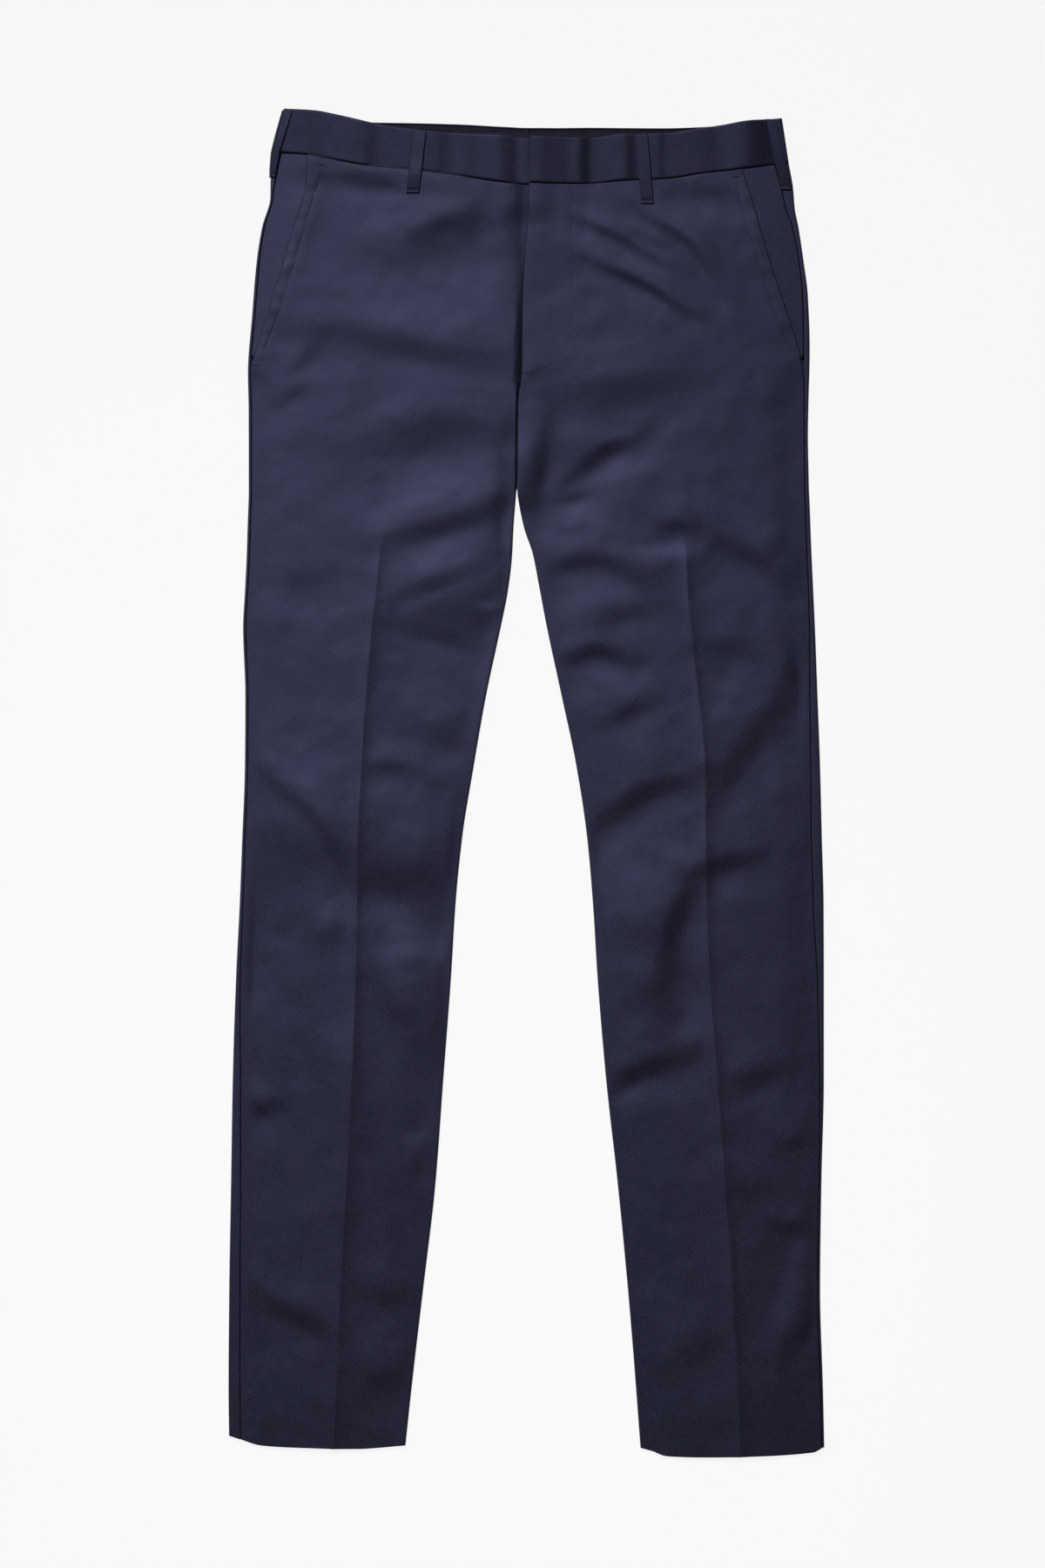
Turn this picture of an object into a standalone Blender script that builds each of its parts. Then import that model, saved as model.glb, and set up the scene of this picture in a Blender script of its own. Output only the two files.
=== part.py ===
"""Flat-front dress trousers laid flat with the front up.

Frame: +Z up, +Y towards the waist, +X towards the wearer's left leg. The trousers lie on z = 0 and
the origin is under the middle of their bounding box. Sizes and tables are in millimetres, meshes in
metres. "Across" is a distance out from the centre line, on either half. Every panel is a wall of
cloth whose points run round the body: from the centre front, over the folded side, to the back.
"""
import math
from bisect import bisect_right
from collections import namedtuple

import bmesh
import bpy

MM = 0.001
COLLECTION_NAME = "dress_trousers"

# Cloth
CLOTH_WALL = 1.0
BAND_WALL = 1.4
LOOP_WALL = 1.0
SEAM_GAP = 0.3

# Folded edges: half the height of the two layers, and half the upright flat at the very edge
EDGE_RADIUS = 1.8
BAND_RADIUS = 2.1
CREST = 0.4
EDGE_HEIGHT = 2 * EDGE_RADIUS
BAND_HEIGHT = 2 * BAND_RADIUS
SOFT_EDGE = 45.0
LOFT = 0.9
LOWEST_FRONT = 2.5
LOWEST_BAND = 3.2

# Levels along the trousers
CROTCH_Y = 250.0
CROTCH_LENGTH = 24.0
HEM_Y = -565.0
HEM_CURVE_LENGTH = 85.0
WAIST_CURVE_Y = 400.0
PLAIN_TOP_Y = 500.0
TOP_ROWS = 3

# Pressed crease of each leg
CREASE_TOP_Y = 235.0
CREASE_FADE = 60.0
CREASE_RISE = 1.5
CREASE_SPREAD = 9.0
CREASE_FLANK = 6.0

# Fly: the left front laps over the right one, down to the tack
FLY_TACK_Y = 338.0
FLY_SEAM_Y = 322.0
LAP_WIDTH = 40.0
LAP_FADE = 16.0
LAP_RISE = 1.0
BAND_LAP_RISE = 1.5
UNDERLAP_DROP = 0.9
UNDERLAP_START = 10.0
UNDERLAP_FADE = 8.0
BAND_UNDERLAP = 12.0

# Slanted pocket: the front's edge stands over the facing
SLASH_RISE = 1.0
SLASH_FADE = 30.0
SLASH_START_Y = 335.0
SLASH_START_LENGTH = 25.0
FACING_SINK = 0.8
FACING_UNDER_FRONT = 12.0
FACING_LOW_Y = 362.0

# Centre-back belt loop, which lies under the band and lifts it
BACK_LOOP_WIDTH = 11.2
BACK_LOOP_LOW_Y = 503.0
BACK_LOOP_TOP_Y = 559.0
BACK_RISE = LOOP_WALL + SEAM_GAP
BACK_RISE_HALF_WIDTH = 8.0
BACK_RISE_FADE = 22.0
BACK_RISE_LOW_Y = 498.0
BACK_TOP_X = 0.0
BACK_TOP_Y = 520.0
BACK_CROTCH_X = -8.2

# Closed zip and hook plate, under the lap
ZIP_INNER_X = 9.0
ZIP_OUTER_X = 33.0
ZIP_LOW_Y = 350.0
ZIP_TOP_Y = 504.0
ZIP_Z = 3.0
ZIP_WALL = 1.2
ZIP_ROWS = 6
ZIP_COLUMNS = 3
HOOK_INNER_X = 15.0
HOOK_OUTER_X = 29.0
HOOK_LOW_SHARE = 0.25
HOOK_TOP_SHARE = 0.55
HOOK_WALL = 0.8

Section = namedtuple("Section", "y outer inner crease seam")
WaistPoint = namedtuple("WaistPoint", "across front_seam front_top back_seam back_top")
HemPoint = namedtuple("HemPoint", "across y")
SlashPoint = namedtuple("SlashPoint", "y across")
Fold = namedtuple("Fold", "across y across_end y_end bow half_width rise")
Wave = namedtuple("Wave", "across half_width rise")
Loop = namedtuple("Loop", "name half top_across top_y low_across low_y width")
RowBand = namedtuple("RowBand", "low high rows")

# Sections from the waist seam to the hem: the folded side, the centre or inner edge of the front,
# the pressed crease, and how far in from the folded side the side seam lies on the front
RIGHT_SECTIONS = (
    Section(539, 216.8, -8.0, 100.2, 7.0),
    Section(515, 219.0, -8.0, 101.5, 4.3),
    Section(501, 219.2, -8.0, 102.4, 2.2),
    Section(476, 226.1, -8.0, 103.9, 2.2),
    Section(446, 230.9, -8.0, 105.4, 2.6),
    Section(401, 234.7, -8.0, 108.4, 2.6),
    Section(350, 238.4, -2.0, 112.0, 2.6),
    Section(338, 238.2, 6.0, 113.0, 2.6),
    Section(322, 237.8, 7.6, 114.0, 2.6),
    Section(263, 237.7, 8.0, 118.8, 2.6),
    Section(250, 237.7, 8.6, 119.8, 2.6),
    Section(222, 238.6, 10.8, 122.7, 2.6),
    Section(193, 239.5, 12.3, 125.9, 2.6),
    Section(163, 241.0, 16.0, 129.0, 2.6),
    Section(133, 242.5, 22.0, 132.2, 2.6),
    Section(74, 240.6, 34.6, 137.5, 2.6),
    Section(14, 241.0, 45.1, 141.2, 2.6),
    Section(-46, 243.2, 54.8, 144.2, 2.8),
    Section(-105, 245.5, 60.7, 145.3, 3.2),
    Section(-165, 248.5, 64.4, 146.2, 4.0),
    Section(-254, 251.4, 71.1, 149.4, 7.0),
    Section(-344, 252.9, 77.9, 154.2, 8.6),
    Section(-433, 254.4, 88.3, 159.1, 9.7),
    Section(-522, 255.0, 98.8, 162.8, 10.2),
    Section(-577, 254.4, 104.8, 165.5, 10.4),
)
LEFT_SECTIONS = (
    Section(530, 224.6, 2.4, 112.6, 12.0),
    Section(509, 228.3, 2.2, 114.1, 9.8),
    Section(491, 229.8, 0.6, 115.9, 7.6),
    Section(476, 232.8, -0.3, 117.4, 5.0),
    Section(446, 237.3, -2.0, 119.6, 3.8),
    Section(416, 241.0, -3.2, 121.6, 4.4),
    Section(372, 242.5, -3.8, 124.0, 5.2),
    Section(350, 242.2, -4.0, 125.3, 4.5),
    Section(338, 241.8, -5.5, 126.1, 4.0),
    Section(322, 241.4, -7.2, 127.1, 3.4),
    Section(297, 241.0, -7.6, 128.5, 3.0),
    Section(263, 241.6, -7.7, 130.8, 3.3),
    Section(250, 241.9, -7.8, 131.6, 3.4),
    Section(240, 242.4, -6.6, 132.5, 3.5),
    Section(217, 243.2, -1.7, 134.0, 3.6),
    Section(197, 244.0, 5.1, 136.4, 3.8),
    Section(163, 245.6, 11.8, 137.8, 4.0),
    Section(133, 247.0, 17.5, 140.2, 4.6),
    Section(74, 249.2, 30.2, 147.0, 6.4),
    Section(14, 251.4, 42.8, 152.6, 7.8),
    Section(-46, 252.9, 51.8, 153.2, 8.8),
    Section(-105, 254.4, 57.0, 154.0, 8.6),
    Section(-165, 254.6, 60.7, 156.4, 5.5),
    Section(-254, 254.6, 68.2, 163.2, 3.3),
    Section(-344, 252.5, 78.2, 169.7, 2.1),
    Section(-433, 251.4, 86.8, 176.3, 2.1),
    Section(-522, 254.0, 94.2, 180.8, 2.1),
    Section(-577, 255.2, 98.6, 183.0, 2.1),
)

# Waistband: the seam under it and its top edge, on the front and on the back
RIGHT_WAIST = (
    WaistPoint(-14.0, 511.3, 551.9, 520.4, 560.2),
    WaistPoint(-2.0, 511.3, 551.9, 520.4, 560.2),
    WaistPoint(22.0, 513.7, 554.5, 521.8, 561.4),
    WaistPoint(58.0, 519.3, 556.0, 523.8, 563.4),
    WaistPoint(102.0, 524.7, 559.4, 524.8, 564.6),
    WaistPoint(137.0, 527.9, 564.8, 525.8, 565.2),
    WaistPoint(167.0, 533.2, 571.4, 529.5, 568.6),
    WaistPoint(190.0, 537.3, 575.6, 533.0, 572.0),
    WaistPoint(216.8, 539.0, 577.0, 539.0, 576.4),
)
LEFT_WAIST = (
    WaistPoint(0.0, 513.3, 553.8, 520.4, 560.2),
    WaistPoint(34.0, 512.4, 552.4, 520.6, 560.4),
    WaistPoint(54.0, 512.4, 552.2, 520.7, 560.6),
    WaistPoint(82.0, 515.0, 555.2, 520.6, 560.4),
    WaistPoint(121.0, 516.7, 556.0, 520.4, 560.2),
    WaistPoint(148.0, 520.7, 559.4, 521.4, 560.9),
    WaistPoint(174.0, 523.7, 563.2, 523.0, 562.4),
    WaistPoint(195.0, 526.5, 566.6, 525.5, 564.8),
    WaistPoint(224.6, 530.0, 568.7, 530.0, 568.3),
)
RIGHT_BAND_TOP_SIDE = 207.5
LEFT_BAND_TOP_SIDE = 218.7

RIGHT_HEM = (
    HemPoint(104, -567.0),
    HemPoint(145, -569.7),
    HemPoint(197, -568.6),
    HemPoint(226, -567.0),
    HemPoint(245, -561.5),
    HemPoint(255, -558.2),
)
LEFT_HEM = (
    HemPoint(98, -569.0),
    HemPoint(108, -571.8),
    HemPoint(120, -576.0),
    HemPoint(150, -577.0),
    HemPoint(200, -576.0),
    HemPoint(245, -573.0),
    HemPoint(255, -568.0),
)

# Slanted pocket edge, from the waist seam down to the side seam
RIGHT_SLASH = (
    SlashPoint(534.7, 187.7),
    SlashPoint(511.8, 189.2),
    SlashPoint(482.9, 197.5),
    SlashPoint(423.7, 214.9),
    SlashPoint(364.3, 233.3),
    SlashPoint(356.7, 235.8),
)
LEFT_SLASH = (
    SlashPoint(528.8, 185.1),
    SlashPoint(508.6, 191.5),
    SlashPoint(454.0, 206.7),
    SlashPoint(397.6, 225.0),
    SlashPoint(367.3, 234.2),
    SlashPoint(347.7, 237.2),
)

# Largest folds of each front: a line with a bow to one side, ridges up and troughs down
RIGHT_FOLDS = (
    Fold(205, 524, 100, 502, 0, 12, -0.8),
    Fold(100, 454, 12, 500, 4, 13, -0.8),
    Fold(190, 398, 26, 366, 6, 14, -0.9),
    Fold(140, 281, 22, 316, -6, 12, -0.9),
    Fold(125, 268, 32, 272, 4, 13, 1.6),
    Fold(130, 212, 26, 243, -4, 12, -1.1),
    Fold(120, 190, 32, 221, -5, 13, 1.9),
    Fold(112, 138, 22, 168, -5, 11, -1.0),
    Fold(105, 96, 34, 98, 3, 15, 1.4),
    Fold(150, -80, 92, -150, 6, 13, 1.6),
    Fold(222, 12, 148, -86, 14, 13, -1.0),
    Fold(175, -100, 176, -325, 5, 16, 1.7),
    Fold(143, -190, 92, -228, 5, 11, -1.0),
    Fold(236, -436, 164, -478, 5, 13, -1.0),
)
LEFT_FOLDS = (
    Fold(48, 474, 112, 442, 4, 13, -0.9),
    Fold(60, 438, 138, 398, 5, 13, -0.9),
    Fold(128, 486, 178, 440, -4, 14, 1.4),
    Fold(26, 334, 116, 342, -5, 13, -0.9),
    Fold(48, 270, 108, 277, -4, 12, 1.5),
    Fold(4, 216, 72, 291, 8, 11, -1.1),
    Fold(14, 228, 58, 234, -3, 10, 1.4),
    Fold(26, 190, 104, 160, -12, 12, -1.1),
    Fold(28, 177, 62, 170, -4, 12, 1.5),
    Fold(40, 96, 84, 102, -9, 11, -1.0),
    Fold(36, 84, 80, 92, -5, 11, 1.5),
    Fold(54, -44, 143, 5, -8, 11, -1.1),
    Fold(78, -38, 146, -12, -5, 12, 1.8),
    Fold(154, -28, 230, 76, 8, 14, -1.0),
    Fold(192, -62, 112, -178, 24, 12, -1.1),
    Fold(70, -260, 144, -229, -5, 12, -1.0),
    Fold(72, -277, 110, -254, -3, 11, 1.4),
    Fold(166, -266, 226, -242, -5, 12, -0.9),
)

# Soft upright waves of the waistband's front
RIGHT_WAVES = (
    Wave(10, 12, -1.0),
    Wave(42, 20, 0.6),
    Wave(73, 9, -0.8),
    Wave(150, 30, 0.4),
)
LEFT_WAVES = (
    Wave(49, 9, -0.9),
    Wave(70, 12, 0.5),
    Wave(89, 7, -0.8),
    Wave(140, 30, 0.5),
    Wave(204, 10, -0.9),
)

# Belt loops that show on the front: their middle line at the top and at the bottom
FRONT_LOOPS = (
    Loop("belt_loop_front_right", "right", 91.0, 557.0, 97.2, 504.0, 11.3),
    Loop("belt_loop_front_left", "left", 98.5, 554.6, 103.6, 495.0, 11.1),
)
# Belt loops on the folded sides: the edge nearer the centre, as a distance in from the fold
SIDE_LOOPS = (
    Loop("belt_loop_side_right", "right", 8.5, 575.5, 4.6, 517.5, 10.6),
    Loop("belt_loop_side_left", "left", 14.2, 567.6, 10.6, 507.0, 8.8),
)
LOOP_STANDOFF = 0.9
LOOP_ROWS = 8
SIDE_LOOP_COLUMNS = 8
LOOP_REACH = 4.0
SIDE_LOOP_LOWEST_ARC = -0.8

# Rows of points along every panel, and where the columns lie
ROW_BANDS = (
    RowBand(HEM_Y, 40.0, 17),
    RowBand(40.0, CROTCH_Y - CROTCH_LENGTH, 14),
    RowBand(CROTCH_Y - CROTCH_LENGTH, CROTCH_Y, 4),
    RowBand(CROTCH_Y, FLY_SEAM_Y, 6),
    RowBand(FLY_SEAM_Y, FLY_TACK_Y, 1),
    RowBand(FLY_TACK_Y, 350.0, 1),
    RowBand(350.0, PLAIN_TOP_Y, 11),
)
COLUMN_SHARES = (0.25, 0.5, 0.75)
FACING_SHARES = (0.4, 0.75)
BAND_SHARES = (0.0, 0.35, 0.7, 1.0)

# Colours, linear
NAVY_CLOTH = (0.028, 0.029, 0.055)
NAVY_BAND = (0.030, 0.031, 0.058)
NAVY_TAPE = (0.012, 0.013, 0.024)
NICKEL = (0.56, 0.56, 0.54)


def smooth_step(value):
    """0 to 1 with a soft start and a soft end."""
    value = min(max(value, 0.0), 1.0)
    return value * value * (3.0 - 2.0 * value)


def mix(low, high, share):
    """The value at a share of the way from low to high."""
    return low + (high - low) * share


def smooth_curve(points):
    """A function through (key, value) points that bends smoothly and never overshoots them."""
    points = sorted(points)
    keys = [key for key, value in points]
    values = [value for key, value in points]
    rises = []
    for i in range(len(keys) - 1):
        rises.append((values[i + 1] - values[i]) / (keys[i + 1] - keys[i]))
    slopes = [rises[0]]
    for before, after in zip(rises, rises[1:]):
        same_way = before * after > 0
        slopes.append(2 * before * after / (before + after) if same_way else 0.0)
    slopes.append(rises[-1])

    def value_at(key):
        key = min(max(key, keys[0]), keys[-1])
        i = min(bisect_right(keys, key), len(keys) - 1) - 1
        width = keys[i + 1] - keys[i]
        t = (key - keys[i]) / width
        start = (1 + 2 * t) * (1 - t) ** 2 * values[i] + t * (1 - t) ** 2 * width * slopes[i]
        end = t * t * (3 - 2 * t) * values[i + 1] + t * t * (t - 1) * width * slopes[i + 1]
        return start + end

    return value_at


def quarter_arc(radius):
    """Arc length from a folded edge's crest to where the cloth lies level."""
    return CREST + (radius - CREST) * math.pi / 2


def middle_arc(radius):
    """Arc length from a folded edge's crest to the middle of its bend."""
    return CREST + (radius - CREST) * math.pi / 4


def fold_section(arc, radius, outset=0.0):
    """Distance in from a folded edge's crest, and height, at an arc length from the crest.

    The arc is positive over the top and negative underneath. The outset lies outside the fold.
    """
    bend = radius - CREST
    length = abs(arc)
    if length <= CREST:
        inset = -outset
        rise = length
    elif length < quarter_arc(radius):
        angle = (length - CREST) / bend
        inset = bend - (bend + outset) * math.cos(angle)
        rise = CREST + (bend + outset) * math.sin(angle)
    else:
        inset = bend + length - quarter_arc(radius)
        rise = radius + outset
    return inset, radius + math.copysign(rise, arc)


def inner_fold(arc, leg_share):
    """Inset and height of a point at an inner edge: flat above the crotch, folded down the leg."""
    inset, height = fold_section(arc, EDGE_RADIUS)
    level = EDGE_HEIGHT if arc > 0 else 0.0
    return mix(abs(arc) - SEAM_GAP / 2, inset, leg_share), mix(level, height, leg_share)


def arc_at(inset, radius):
    """Arc length of the point at a distance in from the crest, where the cloth lies level."""
    return inset - (radius - CREST) + quarter_arc(radius)


def fold_rise(fold, across, y):
    """Height that one fold adds: a soft round section that tapers off at both ends."""
    run = fold.across_end - fold.across
    climb = fold.y_end - fold.y
    length = math.hypot(run, climb)
    along = ((across - fold.across) * run + (y - fold.y) * climb) / length
    aside = ((y - fold.y) * run - (across - fold.across) * climb) / length
    share = min(max(along / length, 0.0), 1.0)
    beyond = abs(along - share * length)
    aside -= fold.bow * 4 * share * (1 - share)
    section = math.exp(-2 * (aside * aside + beyond * beyond) / fold.half_width ** 2)
    taper = 0.35 + 0.65 * math.sin(math.pi * share)
    return fold.rise * section * taper


def back_rise(x, y):
    """Height by which the centre-back belt loop lifts what lies on it."""
    sideways = 1 - smooth_step((abs(x) - BACK_RISE_HALF_WIDTH) / BACK_RISE_FADE)
    upward = smooth_step((y - BACK_RISE_LOW_Y + BACK_RISE_FADE) / BACK_RISE_FADE)
    return BACK_RISE * sideways * upward


class Half:
    """One half of the trousers: its outline curves and the heights of its front."""

    def __init__(self, name, sign, sections, waist, band_top_side, hem, slash, folds, waves):
        self.name = name
        self.sign = sign
        self.top = sections[0].y
        self.outer = smooth_curve([(row.y, row.outer) for row in sections])
        self.inner = smooth_curve([(row.y, row.inner) for row in sections])
        self.crease = smooth_curve([(row.y, row.crease) for row in sections])
        self.seam = smooth_curve([(row.y, row.seam) for row in sections])
        self.front_seam = smooth_curve([(row.across, row.front_seam) for row in waist])
        self.front_top = smooth_curve([(row.across, row.front_top) for row in waist])
        self.back_seam = smooth_curve([(row.across, row.back_seam) for row in waist])
        self.back_top = smooth_curve([(row.across, row.back_top) for row in waist])
        self.hem = smooth_curve([(row.across, row.y) for row in hem])
        self.slash = smooth_curve([(row.y, row.across) for row in slash])
        self.slash_low = slash[-1].y
        self.side_low = sections[0].outer
        self.side_top = band_top_side
        self.side_top_y = waist[-1].front_top
        self.folds = folds
        self.waves = waves

    def leg_share(self, y):
        """0 above the crotch, where the front ends at a flat centre seam, and 1 down the leg."""
        return smooth_step((CROTCH_Y - y) / CROTCH_LENGTH)

    def side(self, y):
        """The folded side's distance from the centre line, also up the waistband."""
        if y <= self.top:
            return self.outer(y)
        share = (y - self.top) / (self.side_top_y - self.top)
        return mix(self.side_low, self.side_top, share)

    def fly_rise(self, across, y):
        """How the fly lifts the left front at its lap and sinks the right front under it."""
        closed = smooth_step((y - FLY_SEAM_Y) / (FLY_TACK_Y - FLY_SEAM_Y))
        if self.name == "left":
            return LAP_RISE * closed * (1 - smooth_step((across - LAP_WIDTH) / LAP_FADE))
        under = 1 - smooth_step((across - UNDERLAP_START + UNDERLAP_FADE) / UNDERLAP_FADE)
        return -UNDERLAP_DROP * closed * under

    def slash_rise(self, across, y):
        """How the pocket edge stands over the facing."""
        near = 1 - smooth_step((self.slash(y) - across) / SLASH_FADE)
        return SLASH_RISE * near * smooth_step((y - SLASH_START_Y) / SLASH_START_LENGTH)

    def front_height(self, across, y):
        """Height of the front's upper face."""
        leg = self.leg_share(y)
        from_side = smooth_step((self.outer(y) - across) / SOFT_EDGE)
        from_inner = smooth_step((across - self.inner(y)) / SOFT_EDGE)
        room = from_side * mix(1.0, from_inner, leg)
        pressed = smooth_step((CREASE_TOP_Y - y) / CREASE_FADE)
        crease = CREASE_RISE * pressed * math.exp(-abs(across - self.crease(y)) / CREASE_SPREAD)
        folds = sum(fold_rise(fold, across, y) for fold in self.folds)
        height = EDGE_HEIGHT + room * (LOFT + crease + folds)
        height += self.fly_rise(across, y) + self.slash_rise(across, y)
        return max(height, LOWEST_FRONT) + back_rise(across, y)

    def band_height(self, across, y):
        """Height of the waistband's upper face, on the front."""
        height = BAND_HEIGHT
        for wave in self.waves:
            height += wave.rise * math.exp(-2 * ((across - wave.across) / wave.half_width) ** 2)
        height = max(height, LOWEST_BAND)
        if self.name == "left":
            height += BAND_LAP_RISE * (1 - smooth_step((across - LAP_WIDTH) / LAP_FADE))
        else:
            height -= UNDERLAP_DROP * (1 - smooth_step(across / UNDERLAP_FADE))
        return height + back_rise(across, y)

    def row_levels(self):
        """Levels of the rows of points, from the hem to the waist seam, before they are curved."""
        levels = [HEM_Y]
        for band in ROW_BANDS + (RowBand(PLAIN_TOP_Y, self.top, TOP_ROWS),):
            for i in range(band.rows):
                levels.append(mix(band.low, band.high, (i + 1) / band.rows))
        return levels

    def curved(self, across, level, waist_seam):
        """The y of a point on a row, which follows the waist seam at the top and the hem below."""
        to_waist = smooth_step((level - WAIST_CURVE_Y) / (self.top - WAIST_CURVE_Y))
        to_hem = smooth_step((HEM_Y + HEM_CURVE_LENGTH - level) / HEM_CURVE_LENGTH)
        y = level + to_waist * (waist_seam(across) - SEAM_GAP / 2 - self.top)
        return y + to_hem * (self.hem(across) - HEM_Y)

    def front_edge(self, level):
        """Outer edge of the front: the pocket edge, and the side seam below it."""
        seam_edge = self.outer(level) - self.seam(level) - SEAM_GAP / 2
        if level <= self.slash_low:
            return seam_edge
        return min(seam_edge, self.slash(level))

    def back_centre(self, level):
        """Centre-back edge of the back, which becomes the inner edge of the leg."""
        if level < CROTCH_Y:
            return self.inner(level)
        share = (level - CROTCH_Y) / (BACK_TOP_Y - CROTCH_Y)
        return self.sign * mix(BACK_CROTCH_X, BACK_TOP_X, min(share, 1.0)) + SEAM_GAP / 2

    def place(self, across, y, z):
        """A point in metres in the trousers' frame."""
        return (self.sign * across * MM, y * MM, z * MM)


def front_columns(half, level):
    """Positions across a front, from past its rounded inner edge to its outer edge."""
    inner = half.inner(level)
    outer = half.front_edge(level)
    crease = half.crease(level)
    columns = [mix(inner, crease, share) for share in COLUMN_SHARES]
    columns += [crease - CREASE_FLANK, crease, crease + CREASE_FLANK]
    columns += [mix(crease, outer, share) for share in COLUMN_SHARES]
    columns.append(outer)
    return columns


def front_rows(half):
    """Points of a front, from its centre or inner edge to the pocket edge or the side seam."""
    arcs = (SEAM_GAP / 2, CREST, middle_arc(EDGE_RADIUS), quarter_arc(EDGE_RADIUS))
    rows = []
    for level in half.row_levels():
        leg = half.leg_share(level)
        columns = []
        for arc in arcs:
            inset, height = inner_fold(arc, leg)
            columns.append((half.inner(level) + inset, EDGE_HEIGHT - height))
        columns += [(across, 0.0) for across in front_columns(half, level)]
        row = []
        for across, drop in columns:
            y = half.curved(across, level, half.front_seam)
            row.append(half.place(across, y, half.front_height(across, y) - drop))
        rows.append(row)
    return rows


def back_rows(half):
    """Points of a back, from the side seam on the front, round the fold, to the centre back."""
    quarter = quarter_arc(EDGE_RADIUS)
    middle = middle_arc(EDGE_RADIUS)
    rows = []
    for level in half.row_levels():
        outer = half.outer(level)
        centre = half.back_centre(level)
        seam_arc = arc_at(half.seam(level) + SEAM_GAP / 2, EDGE_RADIUS) - SEAM_GAP
        columns = []
        for arc in (seam_arc, quarter, middle, CREST, -CREST, -quarter):
            inset, height = fold_section(arc, EDGE_RADIUS)
            columns.append((outer - inset, height))
        columns += [(mix(outer, centre, share), 0.0) for share in COLUMN_SHARES]
        for arc in (-quarter, -middle, -CREST, -SEAM_GAP / 2):
            inset, height = inner_fold(arc, half.leg_share(level))
            columns.append((centre + inset, height))
        row = []
        for across, height in columns:
            y = half.curved(across, level, half.back_seam)
            row.append(half.place(across, y, height + back_rise(across, y)))
        rows.append(row)
    return rows


def facing_columns(half, level):
    """Positions across the facing that shows, from the pocket edge to the side seam."""
    slash = half.slash(level)
    seam = half.outer(level) - half.seam(level) - SEAM_GAP / 2
    return [slash] + [mix(slash, seam, share) for share in FACING_SHARES] + [seam]


def facing_rows(half):
    """Points of a pocket facing, from under the front's pocket edge to the side seam."""
    rows = []
    levels = [level for level in half.row_levels() if level > FACING_LOW_Y]
    for level in levels:
        shown = facing_columns(half, level)
        slash = shown[0]
        seam = shown[-1]
        row = []
        for across in [slash - FACING_UNDER_FRONT] + shown:
            y = half.curved(across, level, half.front_seam)
            sunk = smooth_step((seam - across) / (seam - slash))
            row.append(half.place(across, y, EDGE_HEIGHT - FACING_SINK * sunk))
        rows.append(row)
    return rows


def halved(values):
    """The values with the middle of each neighbouring two put between them."""
    result = []
    for low, high in zip(values, values[1:]):
        result += [low, mix(low, high, 0.5)]
    return result + [values[-1]]


def band_rows(half, centre_front):
    """Points of half a waistband, from the centre front, round the side, to the centre back.

    Its columns stand on those of the front, the facing and the back, so that the seams meet.
    """
    quarter = quarter_arc(BAND_RADIUS)
    middle = middle_arc(BAND_RADIUS)
    centre_back = SEAM_GAP / 2
    plain = [centre_front] + front_columns(half, half.top) + facing_columns(half, half.top)[1:]
    front = list(zip(halved(plain), halved([half.front_seam(across) for across in plain]),
                     halved([half.front_top(across) for across in plain])))
    back = [mix(half.side_low, centre_back, share) for share in COLUMN_SHARES + (1.0,)]
    rows = []
    for share in BAND_SHARES:
        side = mix(half.side_low, half.side_top, share)
        scale = (side - centre_front) / (half.side_low - centre_front)
        row = []
        for start, seam, top in front:
            across = centre_front + (start - centre_front) * scale
            y = mix(seam + SEAM_GAP / 2, top, share)
            row.append(half.place(across, y, half.band_height(across, y)))
        for arc in (quarter, middle, CREST, -CREST, -middle, -quarter):
            inset, height = fold_section(arc, BAND_RADIUS)
            top = half.front_top(half.side_low) if arc > 0 else half.back_top(half.side_low)
            row.append(half.place(side - inset, mix(half.top + SEAM_GAP / 2, top, share), height))
        for start in back:
            across = start * side / half.side_low
            y = mix(half.back_seam(start) + SEAM_GAP / 2, half.back_top(start), share)
            row.append(half.place(across, y, back_rise(across, y)))
        rows.append(row)
    return rows


def height_below_loop(half, across, y):
    """Highest cloth near a point under a belt loop, on the band or on the front below it."""
    heights = []
    for near in (y - LOOP_REACH, y, y + LOOP_REACH):
        if near > half.front_seam(across):
            heights.append(half.band_height(across, near))
        else:
            heights.append(half.front_height(across, near))
    return max(heights)


def front_loop_rows(loop, half):
    """Points of a belt loop on the front, which is sewn at both ends and free between them."""
    rows = []
    for i in range(LOOP_ROWS + 1):
        share = i / LOOP_ROWS
        middle = mix(loop.low_across, loop.top_across, share)
        y = mix(loop.low_y, loop.top_y, share)
        under = max(height_below_loop(half, middle + side * loop.width / 2, y) for side in (-1, 0, 1))
        height = under + SEAM_GAP + LOOP_WALL + LOOP_STANDOFF * math.sin(math.pi * share)
        row = [half.place(middle + side * loop.width / 2, y, height) for side in (-1, 0, 1)]
        rows.append(row)
    return rows


def side_loop_rows(loop, half):
    """Points of a belt loop that lies over the folded side."""
    rows = []
    for i in range(LOOP_ROWS + 1):
        share = i / LOOP_ROWS
        y = mix(loop.low_y, loop.top_y, share)
        outset = SEAM_GAP + LOOP_WALL + LOOP_STANDOFF * math.sin(math.pi * share)
        inner_arc = arc_at(mix(loop.low_across, loop.top_across, share), BAND_RADIUS)
        outer_arc = max(inner_arc - loop.width, SIDE_LOOP_LOWEST_ARC)
        row = []
        for column in range(SIDE_LOOP_COLUMNS + 1):
            arc = mix(inner_arc, outer_arc, column / SIDE_LOOP_COLUMNS)
            inset, height = fold_section(arc, BAND_RADIUS, outset)
            row.append(half.place(half.side(y) - inset, y, height))
        rows.append(row)
    return rows


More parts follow.
